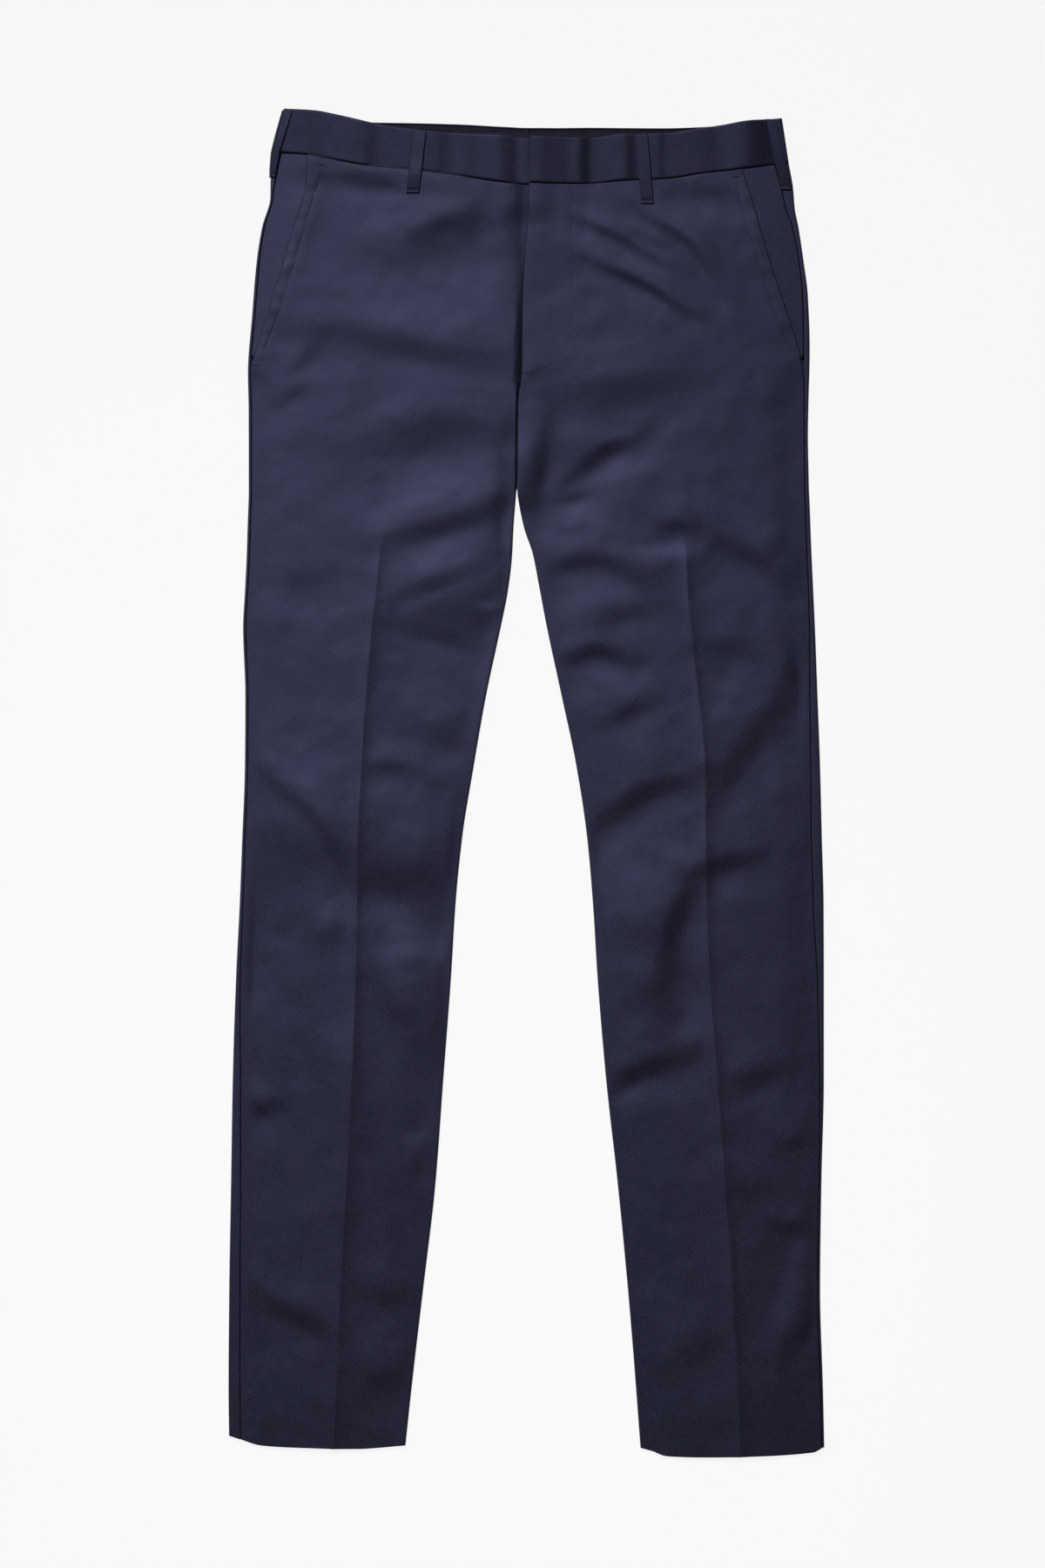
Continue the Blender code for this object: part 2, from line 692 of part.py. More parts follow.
def back_loop_rows():
    """Points of the belt loop at the centre back, which lies flat under the waistband."""
    half_width = BACK_LOOP_WIDTH / 2
    rows = []
    for y in (BACK_LOOP_LOW_Y, BACK_LOOP_TOP_Y):
        rows.append([(x * MM, y * MM, LOOP_WALL * MM) for x in (-half_width, half_width)])
    return rows


def zip_rows():
    """Points of the closed zip, a level strip that rises with the cloth over the back loop."""
    rows = []
    for i in range(ZIP_ROWS + 1):
        y = mix(ZIP_LOW_Y, ZIP_TOP_Y, i / ZIP_ROWS)
        row = []
        for column in range(ZIP_COLUMNS + 1):
            x = mix(ZIP_INNER_X, ZIP_OUTER_X, column / ZIP_COLUMNS)
            row.append((x * MM, y * MM, (ZIP_Z + back_rise(x, y)) * MM))
        rows.append(row)
    return rows


def hook_rows(half):
    """Points of the hook plate, on the underside of the lapped waistband."""
    rows = []
    for share in (HOOK_LOW_SHARE, HOOK_TOP_SHARE):
        row = []
        for across in (HOOK_INNER_X, mix(HOOK_INNER_X, HOOK_OUTER_X, 0.5), HOOK_OUTER_X):
            y = mix(half.front_seam(across), half.front_top(across), share)
            height = half.band_height(across, y) - BAND_WALL - SEAM_GAP
            row.append(half.place(across, y, height))
        rows.append(row)
    return rows


def make_material(name, colour, roughness, metallic=0.0):
    """A plain surface of one colour."""
    material = bpy.data.materials.new(name)
    material.use_nodes = True
    shader = material.node_tree.nodes["Principled BSDF"]
    shader.inputs["Base Color"].default_value = colour + (1.0,)
    shader.inputs["Roughness"].default_value = roughness
    shader.inputs["Metallic"].default_value = metallic
    return material


def add_wall(name, rows, wall, material, collection, mirrored=False):
    """A wall of cloth: an open surface through rows of points, made solid inwards."""
    mesh = bpy.data.meshes.new(name)
    surface = bmesh.new()
    grid = [[surface.verts.new(point) for point in row] for row in rows]
    for lower, upper in zip(grid, grid[1:]):
        for i in range(len(lower) - 1):
            corners = [lower[i], lower[i + 1], upper[i + 1], upper[i]]
            if mirrored:
                corners.reverse()
            surface.faces.new(corners)
    surface.to_mesh(mesh)
    surface.free()
    mesh.materials.append(material)
    mesh.shade_smooth()
    piece = bpy.data.objects.new(name, mesh)
    collection.objects.link(piece)
    solid = piece.modifiers.new("cloth wall", "SOLIDIFY")
    solid.thickness = wall * MM
    solid.offset = -1.0
    solid.use_even_offset = True
    return piece


def clear_scene():
    """Removes every object of the open scene."""
    for item in list(bpy.data.objects):
        bpy.data.objects.remove(item, do_unlink=True)


def build():
    """Makes the trousers in a collection of their own."""
    clear_scene()
    collection = bpy.data.collections.new(COLLECTION_NAME)
    bpy.context.scene.collection.children.link(collection)
    cloth = make_material("trouser cloth", NAVY_CLOTH, 0.75)
    band_cloth = make_material("waistband cloth", NAVY_BAND, 0.75)
    tape = make_material("zip tape", NAVY_TAPE, 0.8)
    metal = make_material("hook metal", NICKEL, 0.3, 1.0)
    halves = {
        "right": Half("right", -1, RIGHT_SECTIONS, RIGHT_WAIST, RIGHT_BAND_TOP_SIDE, RIGHT_HEM,
                      RIGHT_SLASH, RIGHT_FOLDS, RIGHT_WAVES),
        "left": Half("left", 1, LEFT_SECTIONS, LEFT_WAIST, LEFT_BAND_TOP_SIDE, LEFT_HEM,
                     LEFT_SLASH, LEFT_FOLDS, LEFT_WAVES),
    }
    centre_fronts = {"right": -BAND_UNDERLAP, "left": LEFT_SECTIONS[0].inner}
    for name, half in halves.items():
        mirrored = half.sign < 0
        add_wall("front_" + name, front_rows(half), CLOTH_WALL, cloth, collection, mirrored)
        add_wall("back_" + name, back_rows(half), CLOTH_WALL, cloth, collection, mirrored)
        add_wall("pocket_facing_" + name, facing_rows(half), CLOTH_WALL, cloth, collection, mirrored)
        band = band_rows(half, centre_fronts[name])
        add_wall("waistband_" + name, band, BAND_WALL, band_cloth, collection, mirrored)
    for loop in FRONT_LOOPS:
        half = halves[loop.half]
        rows = front_loop_rows(loop, half)
        add_wall(loop.name, rows, LOOP_WALL, band_cloth, collection, half.sign < 0)
    for loop in SIDE_LOOPS:
        half = halves[loop.half]
        rows = side_loop_rows(loop, half)
        add_wall(loop.name, rows, LOOP_WALL, band_cloth, collection, half.sign < 0)
    add_wall("belt_loop_back", back_loop_rows(), LOOP_WALL, band_cloth, collection)
    add_wall("fly_zip", zip_rows(), ZIP_WALL, tape, collection)
    add_wall("waist_hook", hook_rows(halves["left"]), HOOK_WALL, metal, collection)


build()
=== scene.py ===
"""Navy dress trousers laid flat with the front up: their looks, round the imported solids.

Frame: +Z up, +Y towards the waist, +X towards the wearer's left leg, which is on the image's right.
Sizes and tables are in millimetres, but meshes, the floor, the lamps and the yarns' pitches are in
metres. "Across" is a distance out from the centre line, on either half. Every panel is a fine grid
of points whose heights add up its soft folds, its pressed crease, its sewn edges and the fly, and
which is then made into thin cloth inwards.
"""
import math
from collections import namedtuple

import bpy
import numpy as np
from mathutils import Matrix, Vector


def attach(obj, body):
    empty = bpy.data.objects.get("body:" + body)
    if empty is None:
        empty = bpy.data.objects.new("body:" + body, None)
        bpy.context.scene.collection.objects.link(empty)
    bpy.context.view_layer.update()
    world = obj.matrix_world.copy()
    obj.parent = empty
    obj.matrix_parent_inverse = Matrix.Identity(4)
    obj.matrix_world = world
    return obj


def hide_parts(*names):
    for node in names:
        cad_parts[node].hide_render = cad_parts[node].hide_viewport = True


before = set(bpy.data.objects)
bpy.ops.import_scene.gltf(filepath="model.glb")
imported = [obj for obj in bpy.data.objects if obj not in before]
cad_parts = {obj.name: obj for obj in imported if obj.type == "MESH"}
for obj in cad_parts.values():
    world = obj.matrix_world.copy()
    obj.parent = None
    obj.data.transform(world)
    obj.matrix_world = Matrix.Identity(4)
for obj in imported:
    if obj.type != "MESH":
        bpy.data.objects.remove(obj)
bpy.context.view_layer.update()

MM = 0.001

# ------------------------------------------------------------------ sizes shared with the solids
SEAM_GAP = 0.3
EDGE_RADIUS = 1.8
BAND_RADIUS = 2.1
CREST = 0.4
EDGE_HEIGHT = 2 * EDGE_RADIUS
BAND_HEIGHT = 2 * BAND_RADIUS
CROTCH_Y = 250.0
CROTCH_LENGTH = 24.0
HEM_Y = -565.0
HEM_CURVE_LENGTH = 85.0
WAIST_CURVE_Y = 400.0
FLY_TACK_Y = 338.0
FLY_SEAM_Y = 322.0
BAND_UNDERLAP = 12.0
SLASH_START_Y = 335.0
SLASH_START_LENGTH = 25.0
FACING_UNDER_FRONT = 12.0
FACING_LOW_Y = 362.0
LOOP_WALL = 1.0
BACK_RISE = LOOP_WALL + SEAM_GAP
BACK_RISE_HALF_WIDTH = 8.0
BACK_RISE_FADE = 22.0
BACK_RISE_LOW_Y = 498.0
BACK_TOP_X = 0.0
BACK_TOP_Y = 520.0
BACK_CROTCH_X = -8.2

Section = namedtuple("Section", "y outer inner crease seam")
WaistPoint = namedtuple("WaistPoint", "across front_seam front_top back_seam back_top")
Fold = namedtuple("Fold", "across y across_end y_end bow half_width lean rise")
Loop = namedtuple("Loop", "name half top_across top_y low_across low_y width")
Cut = namedtuple("Cut", "piece width length share")
Tack = namedtuple("Tack", "name x y length degrees")
Lamp = namedtuple("Lamp", "name x y z aim_y spread size power")


def table(kind, *rows):
    """A table with a kind's named columns, from plain rows."""
    return tuple(kind(*row) for row in rows)


RIGHT_SECTIONS = table(
    Section,
    (539, 216.8, -8.0, 100.2, 7.0),
    (515, 219.0, -8.0, 101.5, 4.3),
    (501, 219.2, -8.0, 102.4, 2.2),
    (476, 226.1, -8.0, 103.9, 2.2),
    (446, 230.9, -8.0, 105.4, 2.6),
    (401, 234.7, -8.0, 108.4, 2.6),
    (350, 238.4, -2.0, 112.0, 2.6),
    (338, 238.2, 6.0, 113.0, 2.6),
    (322, 237.8, 7.6, 114.0, 2.6),
    (263, 237.7, 8.0, 118.8, 2.6),
    (250, 237.7, 8.6, 119.8, 2.6),
    (222, 238.6, 10.8, 122.7, 2.6),
    (193, 239.5, 12.3, 125.9, 2.6),
    (163, 241.0, 16.0, 129.0, 2.6),
    (133, 242.5, 22.0, 132.2, 2.6),
    (74, 240.6, 34.6, 137.5, 2.6),
    (14, 241.0, 45.1, 141.2, 2.6),
    (-46, 243.2, 54.8, 144.2, 2.8),
    (-105, 245.5, 60.7, 145.3, 3.2),
    (-165, 248.5, 64.4, 146.2, 4.0),
    (-254, 251.4, 71.1, 149.4, 7.0),
    (-344, 252.9, 77.9, 154.2, 8.6),
    (-433, 254.4, 88.3, 159.1, 9.7),
    (-522, 255.0, 98.8, 162.8, 10.2),
    (-577, 254.4, 104.8, 165.5, 10.4),
)
LEFT_SECTIONS = table(
    Section,
    (530, 224.6, 2.4, 112.6, 12.0),
    (509, 228.3, 2.2, 114.1, 9.8),
    (491, 229.8, 0.6, 115.9, 7.6),
    (476, 232.8, -0.3, 117.4, 5.0),
    (446, 237.3, -2.0, 119.6, 3.8),
    (416, 241.0, -3.2, 121.6, 4.4),
    (372, 242.5, -3.8, 124.0, 5.2),
    (350, 242.2, -4.0, 125.3, 4.5),
    (338, 241.8, -5.5, 126.1, 4.0),
    (322, 241.4, -7.2, 127.1, 3.4),
    (297, 241.0, -7.6, 128.5, 3.0),
    (263, 241.6, -7.7, 130.8, 3.3),
    (250, 241.9, -7.8, 131.6, 3.4),
    (240, 242.4, -6.6, 132.5, 3.5),
    (217, 243.2, -1.7, 134.0, 3.6),
    (197, 244.0, 5.1, 136.4, 3.8),
    (163, 245.6, 11.8, 137.8, 4.0),
    (133, 247.0, 17.5, 140.2, 4.6),
    (74, 249.2, 30.2, 147.0, 6.4),
    (14, 251.4, 42.8, 152.6, 7.8),
    (-46, 252.9, 51.8, 153.2, 8.8),
    (-105, 254.4, 57.0, 154.0, 8.6),
    (-165, 254.6, 60.7, 156.4, 5.5),
    (-254, 254.6, 68.2, 163.2, 3.3),
    (-344, 252.5, 78.2, 169.7, 2.1),
    (-433, 251.4, 86.8, 176.3, 2.1),
    (-522, 254.0, 94.2, 180.8, 2.1),
    (-577, 255.2, 98.6, 183.0, 2.1),
)
RIGHT_WAIST = table(
    WaistPoint,
    (-14.0, 511.3, 551.9, 520.4, 560.2),
    (-2.0, 511.3, 551.9, 520.4, 560.2),
    (22.0, 513.7, 554.5, 521.8, 561.4),
    (58.0, 519.3, 556.0, 523.8, 563.4),
    (102.0, 524.7, 559.4, 524.8, 564.6),
    (137.0, 527.9, 564.8, 525.8, 565.2),
    (167.0, 533.2, 571.4, 529.5, 568.6),
    (190.0, 537.3, 575.6, 533.0, 572.0),
    (216.8, 539.0, 577.0, 539.0, 576.4),
)
LEFT_WAIST = table(
    WaistPoint,
    (0.0, 513.3, 553.8, 520.4, 560.2),
    (34.0, 512.4, 552.4, 520.6, 560.4),
    (54.0, 512.4, 552.2, 520.7, 560.6),
    (82.0, 515.0, 555.2, 520.6, 560.4),
    (121.0, 516.7, 556.0, 520.4, 560.2),
    (148.0, 520.7, 559.4, 521.4, 560.9),
    (174.0, 523.7, 563.2, 523.0, 562.4),
    (195.0, 526.5, 566.6, 525.5, 564.8),
    (224.6, 530.0, 568.7, 530.0, 568.3),
)
RIGHT_BAND_TOP_SIDE = 207.5
LEFT_BAND_TOP_SIDE = 218.7
# Hem: distance across, and y. Pocket edge: y, and distance across
RIGHT_HEM = (
    (104, -567.0), (145, -569.7), (197, -568.6), (226, -567.0), (245, -561.5),
    (255, -558.2),
)
LEFT_HEM = (
    (98, -569.0), (108, -571.8), (120, -576.0), (150, -577.0), (200, -576.0),
    (245, -573.0), (255, -568.0),
)
RIGHT_SLASH = (
    (534.7, 187.7), (511.8, 189.2), (482.9, 197.5), (423.7, 214.9), (364.3, 233.3),
    (356.7, 235.8),
)
LEFT_SLASH = (
    (528.8, 185.1), (508.6, 191.5), (454.0, 206.7), (397.6, 225.0), (367.3, 234.2),
    (347.7, 237.2),
)
FRONT_LOOPS = table(
    Loop,
    ("belt_loop_front_right", "right", 91.0, 557.0, 97.2, 504.0, 11.3),
    ("belt_loop_front_left", "left", 98.5, 554.6, 103.6, 495.0, 11.1),
)
SIDE_LOOPS = table(
    Loop,
    ("belt_loop_side_right", "right", 8.5, 575.5, 4.6, 517.5, 10.6),
    ("belt_loop_side_left", "left", 14.2, 567.6, 10.6, 507.0, 8.8),
)
SIDE_LOOP_LOWEST_ARC = -0.8
BACK_LOOP_WIDTH = 11.2
BACK_LOOP_LOW_Y = 503.0
BACK_LOOP_TOP_Y = 559.0

# ------------------------------------------------------------------ the cloth's own fine sizes
CLOTH_WALL = 0.7
BAND_WALL = 1.1
LOOP_STANDOFF = 0.9
LOFT = 1.4
SOFT_EDGE = 42.0
FOLD_ROOM = 13.0
WAIST_LOFT_SHARE = 0.35
WAIST_FLAT = 55.0
HEM_FLAT = 40.0
LOWEST_FRONT = 1.5
LOWEST_BAND = 3.0
FLOOR_SOFTNESS = 0.25
FOLD_END = 0.4
FOLD_REACH = 1.3
FOLD_LEAN = 3.0
FOLD_TAPER_BY_WIDTH = 0.6
FOLD_TAPER_BY_LENGTH = 0.1
FOLD_TAPER_RATE = 1.2

# Pressed crease: a fine ridge on a broad one
CREASE_FADE = 60.0
CREASE_TIP = 0.9
FINE_CREASE_RISE = 1.0
FINE_CREASE_SPREAD = 5.0
BROAD_CREASE_SPREAD = 30.0
RIGHT_CREASE_RISE = ((235, 0.4), (100, 0.9), (0, 1.0), (-130, 2.4), (-330, 2.2), (-565, 1.5))
LEFT_CREASE_RISE = ((225, 0.3), (100, 0.6), (0, 0.9), (-150, 0.9), (-330, 1.2), (-565, 1.4))

# Rolled edges: how far the cloth turns down where it is folded or sewn
SEAM_ROLL = 0.8
WAIST_ROLL = 0.9
SLASH_ROLL = 1.1
HEM_ROLL = 1.0
LAP_ROLL = 1.1
CENTRE_SEAM_ROLL = 1.3
BAND_ROLL = 1.7
LOOP_ROLL = 0.9
BACK_LOOP_ROLL = LOOP_ROLL / 2

# Fly. Its edge, its groove's depth and the lap's low end are by y
LAP_RISE = 0.3
LAP_LOW_END = (338.0, -16.0)
LAP_FADE = 14.0
LAP_EDGE_RISE = 0.4
LAP_EDGE_WIDTH = 26.0
UNDERLAP_DROP = 0.9
UNDERLAP_START = 10.0
UNDERLAP_FADE = 8.0
GROOVE_SLOPE = 3.2
GROOVE_BEFORE_EDGE = 0.7
FLY_EDGE = (
    (538, -4.8), (446, 0.5), (416, 3.4), (394, 5.2), (372, 6.0), (349, 7.1),
    (327, 8.6), (250, 9.4),
)
GROOVE_DEPTH = (
    (538, 0.0), (490, 0.3), (446, 1.2), (400, 2.8), (350, 3.0), (300, 2.8),
    (250, 1.8), (225, 0.0),
)

# Pocket
SLASH_RISE = 0.9
SLASH_FADE = 26.0
FACING_STEP = 1.0
FACING_HIGHEST = 4.7
FACING_NARROWEST = 0.5
POCKET_ROLL_FADE = 12.0
PUCKER_PITCH = 15.0
PUCKER_RISE = 0.11
PUCKER_WIDTH = 8.5
PUCKER_START = 2.0
PUCKER_FADE = 3.0
PUCKER_WOBBLE = 2.5
PUCKER_WOBBLE_SIZE = 31.0
PUCKER_ORIGIN = 700.0
PUCKER_SEED = 40

# Sewing
CHANNEL_DEPTH = 0.17
CHANNEL_WIDTH = 1.3
STITCH_PITCH = 3.1
STITCH_LENGTH = 2.1
THREAD_RADIUS = 0.28
STITCH_SUNK = 0.05
HEM_STITCH_LENGTH = 0.9
HEM_STITCH_SUNK = 0.18
RIGHT_TACKS_BELOW_X = -4
TACK_WIDTH = 1.5
TACK_PITCH = 0.55
TACK_RAISED = 0.12
TACK_THREAD = 1.1
CAPSULE_SHARES = (0.12, 0.5, 0.88)
CAPSULE_WIDTHS = (0.72, 1.0, 0.72)
CAPSULE_SIDES = 6
HEM_TURN = 26.0
HEM_STEP = 0.12
HEM_STEP_LENGTH = 2.0
HEM_CHANNEL = 0.5

# Fine unevenness of all cloth: lattice size and height
RUMPLES = ((34.0, 0.3), (15.0, 0.18), (7.0, 0.08))
BAND_RUMPLES = ((18.0, 0.16), (7.0, 0.05))
BAND_SEED = 20
LATTICE = (97, 89)
LATTICE_TURN = (0.83, 0.56)
LATTICE_ORIGIN = 5000.0

RIGHT_FOLDS = table(
    Fold,
    (70, 508, 192, 521, 0, 10, 0.5, 1.0),
    (12, 496, 112, 452, -3, 22, 0.0, 1.9),
    (44, 488, 96, 470, 0, 8, 0.0, 0.4),
    (12, 505, 12, 424, 0, 8, 0.0, 0.6),
    (24, 358, 190, 388, 0, 16, 0.4, 1.3),
    (172, 384, 206, 342, 0, 7, 0.0, 0.35),
    (186, 344, 212, 322, 0, 6, 0.0, 0.4),
    (15, 304, 148, 286, 5, 22, -0.2, 1.6),
    (20, 300, 22, 176, 0, 10, 0.0, 1.0),
    (26, 234, 124, 204, 0, 13, 0.2, 1.6),
    (24, 144, 108, 138, 0, 22, 0.2, 2.0),
    (40, 186, 112, 157, 0, 10, 0.3, 1.0),
    (28, 112, 118, 136, 0, 8, 0.0, 0.5),
    (18, 153, 44, 152, 0, 5, 0.0, -0.4),
    (172, 176, 215, 172, 0, 14, 0.0, 0.35),
    (44, 30, 96, 48, 0, 14, 0.0, 0.7),
    (96, 11, 142, 14, 0, 8, 0.0, 0.7),
    (54, -8, 92, 5, 0, 10, 0.0, 0.5),
    (62, -100, 143, -64, 0, 26, 0.0, 1.8),
    (98, -136, 147, -76, -3, 11, 0.0, -0.7),
    (56, -139, 108, -144, -2, 11, 0.0, -0.5),
    (150, -80, 240, -50, 0, 34, 0.2, 2.2),
    (152, -82, 224, 8, 9, 8, 0.5, 0.9),
    (172, -60, 150, -165, 0, 14, 0.3, 1.3),
    (182, -136, 176, -340, 0, 18, 0.0, -1.5),
    (88, -240, 146, -140, 0, 16, 0.0, 1.9),
    (212, -275, 242, -284, 0, 9, 0.0, 1.0),
    (78, -306, 112, -304, 0, 10, 0.0, -0.6),
    (164, -474, 234, -438, 0, 12, 0.2, 1.5),
    (96, -516, 150, -508, 0, 14, 0.0, 0.9),
    (95, -443, 146, -435, 0, 12, 0.0, 0.8),
)
LEFT_FOLDS = table(
    Fold,
    (42, 483, 112, 446, 2, 5, 0.0, 0.85),
    (52, 448, 140, 401, 3, 5, 0.0, 0.95),
    (94, 491, 170, 416, 10, 6, 0.0, 1.0),
    (80, 478, 118, 458, 0, 4, 0.0, 0.45),
    (125, 513, 180, 500, 0, 9, 0.0, 0.7),
    (23, 332, 130, 340, 0, 18, 0.0, 1.2),
    (2, 222, 18, 312, 0, 12, 0.5, 1.9),
    (32, 254, 102, 299, 6, 9, -0.5, 1.4),
    (24, 240, 60, 250, 0, 5, 0.0, 0.5),
    (112, 222, 146, 217, 0, 8, -0.3, 0.9),
    (95, 198, 142, 199, 0, 8, 0.0, -0.7),
    (18, 186, 104, 170, 12, 12, 0.0, 1.3),
    (152, 215, 231, 165, 3, 12, 0.0, 1.4),
    (145, 116, 200, 110, 0, 14, 0.0, 0.8),
    (222, 130, 232, 70, 0, 8, 0.0, -0.5),
    (53, 140, 112, 150, 0, 11, 0.0, 0.8),
    (28, 104, 92, 106, 8, 9, -0.4, 1.4),
    (64, 50, 106, 70, 0, 10, 0.0, 0.8),
    (54, -41, 150, 7, 8, 11, -0.4, 1.5),
    (58, -80, 142, -72, 0, 26, 0.0, -1.0),
    (152, -28, 226, 84, 2, 14, 0.0, 1.5),
    (138, -80, 197, -63, 2, 10, -0.3, 1.5),
    (118, -165, 148, -76, 6, 12, -0.4, 1.8),
    (120, -240, 121, -125, 0, 21, 0.0, 1.9),
    (71, -262, 143, -232, 4, 11, 0.0, 1.4),
    (71, -277, 108, -256, 0, 10, 0.0, -0.6),
    (167, -264, 223, -244, 0, 11, 0.0, 1.0),
    (214, -312, 246, -306, 0, 9, 0.0, 0.7),
    (176, -350, 214, -346, 0, 12, 0.0, 0.7),
    (214, -378, 246, -384, 0, 8, 0.0, 0.8),
    (212, -480, 232, -395, 0, 12, 0.0, -0.9),
    (223, -490, 252, -446, 0, 9, 0.0, 0.9),
    (120, -500, 172, -470, 0, 16, 0.0, 0.8),
)
# Shallow folds of the backs' undersides
UNDER_FOLDS = table(
    Fold,
    (60, 430, 190, 400, 6, 16, 0.0, 0.9),
    (40, 300, 150, 330, -6, 14, 0.2, 0.8),
    (50, 236, 130, 262, 5, 12, 0.0, 1.0),
    (60, 150, 140, 176, -5, 13, 0.2, 0.9),
    (80, 20, 190, 52, 6, 14, 0.0, 0.7),
    (90, -90, 200, -40, 10, 14, 0.2, 1.0),
    (100, -210, 170, -180, 4, 13, 0.0, 0.8),
    (120, -330, 220, -300, 6, 14, 0.0, 0.6),
)
UNDER_CREASE_RISE = 0.5
UNDER_CREASE_WIDTH = 1.6
UNDER_ROOM = 30.0
UNDER_SHIFT = 14.0
# Heights of the waistband's front along it, over its plain height
RIGHT_BAND = (
    (-12, -0.9), (2, -0.9), (6, -1.3), (25, 1.3), (45, 0.4), (50, 0.5), (65, -0.3), (78, 0.5),
    (100, 0.2), (126, -0.6), (141, 0.6), (175, -0.1), (190, 0.3), (217, 0.0),
)
LEFT_BAND = (
    (0, 1.5), (25, 1.6), (37, 0.9), (44, 1.0), (56, -1.0), (60, -0.95), (84, 0.6), (94, -0.5),
    (100, -0.5), (112, 0.1), (120, -0.3), (150, 0.3), (162, 0.1), (188, 1.9), (214, -1.2), (225, -1.2),
)

RIGHT_POCKET_STITCHES = (
    (175.4, 521.6), (183.8, 495.2), (192.2, 467.7), (200.6, 438.8), (209.0, 412.9),
    (216.5, 390.2), (224.1, 370.4),
)
LEFT_POCKET_STITCHES = (
    (179.4, 514.8), (182.5, 495.0), (187.7, 476.8), (196.2, 452.5), (202.3, 434.1),
    (208.2, 416.0), (213.6, 399.2), (219.0, 387.2), (228.0, 367.3),
)
FLY_STITCHES = (
    (37.6, 511.6), (38.4, 460.0), (39.1, 408.8), (36.8, 388.0), (33.9, 375.3),
    (24.2, 360.4), (7.8, 350.7),
)
RIGHT_HEM_STITCHES = ((103.0, -543.8), (160.6, -544.0), (242.5, -539.6))
LEFT_HEM_STITCHES = ((99.0, -546.3), (124.8, -546.3), (206.7, -544.8), (248.0, -543.5))
BAND_INSIDE_STITCHES = ((-133.0, 560.2), (0.0, 557.6), (155.0, 557.8))

TACKS = table(
    Tack,
    ("tack_pocket_top_right", -176.9, 528.6, 9.5, -4.0),
    ("tack_pocket_low_right", -231.6, 357.0, 7.5, 0.0),
    ("tack_pocket_top_left", 179.8, 518.4, 7.5, 6.0),
    ("tack_pocket_low_left", 233.6, 347.2, 4.0, 0.0),
    ("tack_fly", 1.4, 350.7, 10.0, 4.0),
)

# What each piece was cut to before it was sewn: width, length and the share of that rectangle
CUTS = table(
    Cut,
    ("cloth_front_right", 255.0, 1110.0, 0.75),
    ("cloth_front_left", 264.0, 1105.0, 0.755),
    ("cloth_back_right", 270.5, 1111.5, 0.755),
    ("cloth_back_left", 274.5, 1110.0, 0.775),
    ("cloth_facing_right", 60.0, 178.0, 0.505),
    ("cloth_facing_left", 64.5, 168.0, 0.51),
    ("cloth_waistband_right", 454.0, 42.7, 0.93),
    ("cloth_waistband_left", 452.0, 42.2, 0.97),
    ("cloth_belt_loop_front_right", 12.3, 54.6, 0.99),
    ("cloth_belt_loop_front_left", 12.1, 60.9, 0.99),
    ("cloth_belt_loop_side_right", 13.7, 61.2, 0.90),
    ("cloth_belt_loop_side_left", 11.3, 62.0, 1.0),
    ("cloth_belt_loop_back", 11.7, 56.5, 1.0),
)

# ------------------------------------------------------------------ picture
FIELD_HEIGHT = 1341.0
LENS = 85.0
SENSOR = 36.0
CAMERA_X = -3.35
CAMERA_Y = -0.93
CLOTH_LEVEL = 3.6
FLOOR_HALF = 40.0
FLOOR_LEVEL = -0.0003
FLOOR_GLOW = 0.885
WORLD_STRENGTH = 0.07
WHITE = (1.0, 1.0, 1.0, 1.0)
GLOSS_TINT = (0.47, 0.50, 1.0, 1.0)
SHEEN_TINT = (0.62, 0.66, 0.95, 1.0)
SPECKLE_SCALE = (1500.0, 900.0, 1000.0)
SLUB_SCALE = (850.0, 480.0, 600.0)
CLOUD_SCALE = (55.0, 38.0, 40.0)
BROAD_SCALE = (9.0, 6.0, 9.0)
SCRATCH_SCALE = (400.0, 3000.0, 400.0)
FLOOR_SCALE = (300.0, 300.0, 300.0)
FLOOR_TONES = (0.07, 0.08)
WARP_PITCH = 0.00042
WEFT_PITCH = 0.00055
CLOTH_DARK = (0.0005, 0.0005, 0.001)
CLOTH_LIGHT = (0.0125, 0.012, 0.018)
LAMPS = table(
    Lamp,
    ("key", -0.68, 2.5, 3.1, 0.0, 180, 0.7, 45.0),
    ("low_key", -0.75, 1.7, 2.9, -0.7, 42, 0.7, 5.6),
    ("side", -3.0, 0.2, 0.9, 0.0, 180, 1.0, 17.0),
    ("top", -0.6, 3.4, 0.9, 0.2, 180, 0.8, 14.0),
)


def smooth_step(value):
    """0 to 1 with a soft start and a soft end."""
    value = np.clip(value, 0.0, 1.0)
    return value * value * (3.0 - 2.0 * value)


def mix(low, high, share):
    """The value at a share of the way from low to high."""
    return low + (high - low) * share


def smooth_curve(points):
    """A function through (key, value) points that bends smoothly and never overshoots them."""
    keys, values = np.array(sorted(points), float).T
    rises = np.diff(values) / np.diff(keys)
    before = rises[:-1]
    after = rises[1:]
    same_way = before * after > 0
    inner = np.where(same_way, 2 * before * after / np.where(same_way, before + after, 1.0), 0.0)
    slopes = np.concatenate([rises[:1], inner, rises[-1:]])

    def value_at(key):
        key = np.clip(key, keys[0], keys[-1])
        i = np.clip(np.searchsorted(keys, key, side="right") - 1, 0, len(keys) - 2)
        width = keys[i + 1] - keys[i]
        t = (key - keys[i]) / width
        start = (1 + 2 * t) * (1 - t) ** 2 * values[i] + t * (1 - t) ** 2 * width * slopes[i]
        end = t * t * (3 - 2 * t) * values[i + 1] + t * t * (t - 1) * width * slopes[i + 1]
        return start + end

    return value_at


def spaced(start, end, spacing):
    """Even positions from start to end, about a spacing apart, with both ends."""
    count = max(int(round(abs(end - start) / spacing)), 1)
    return np.linspace(start, end, count + 1)


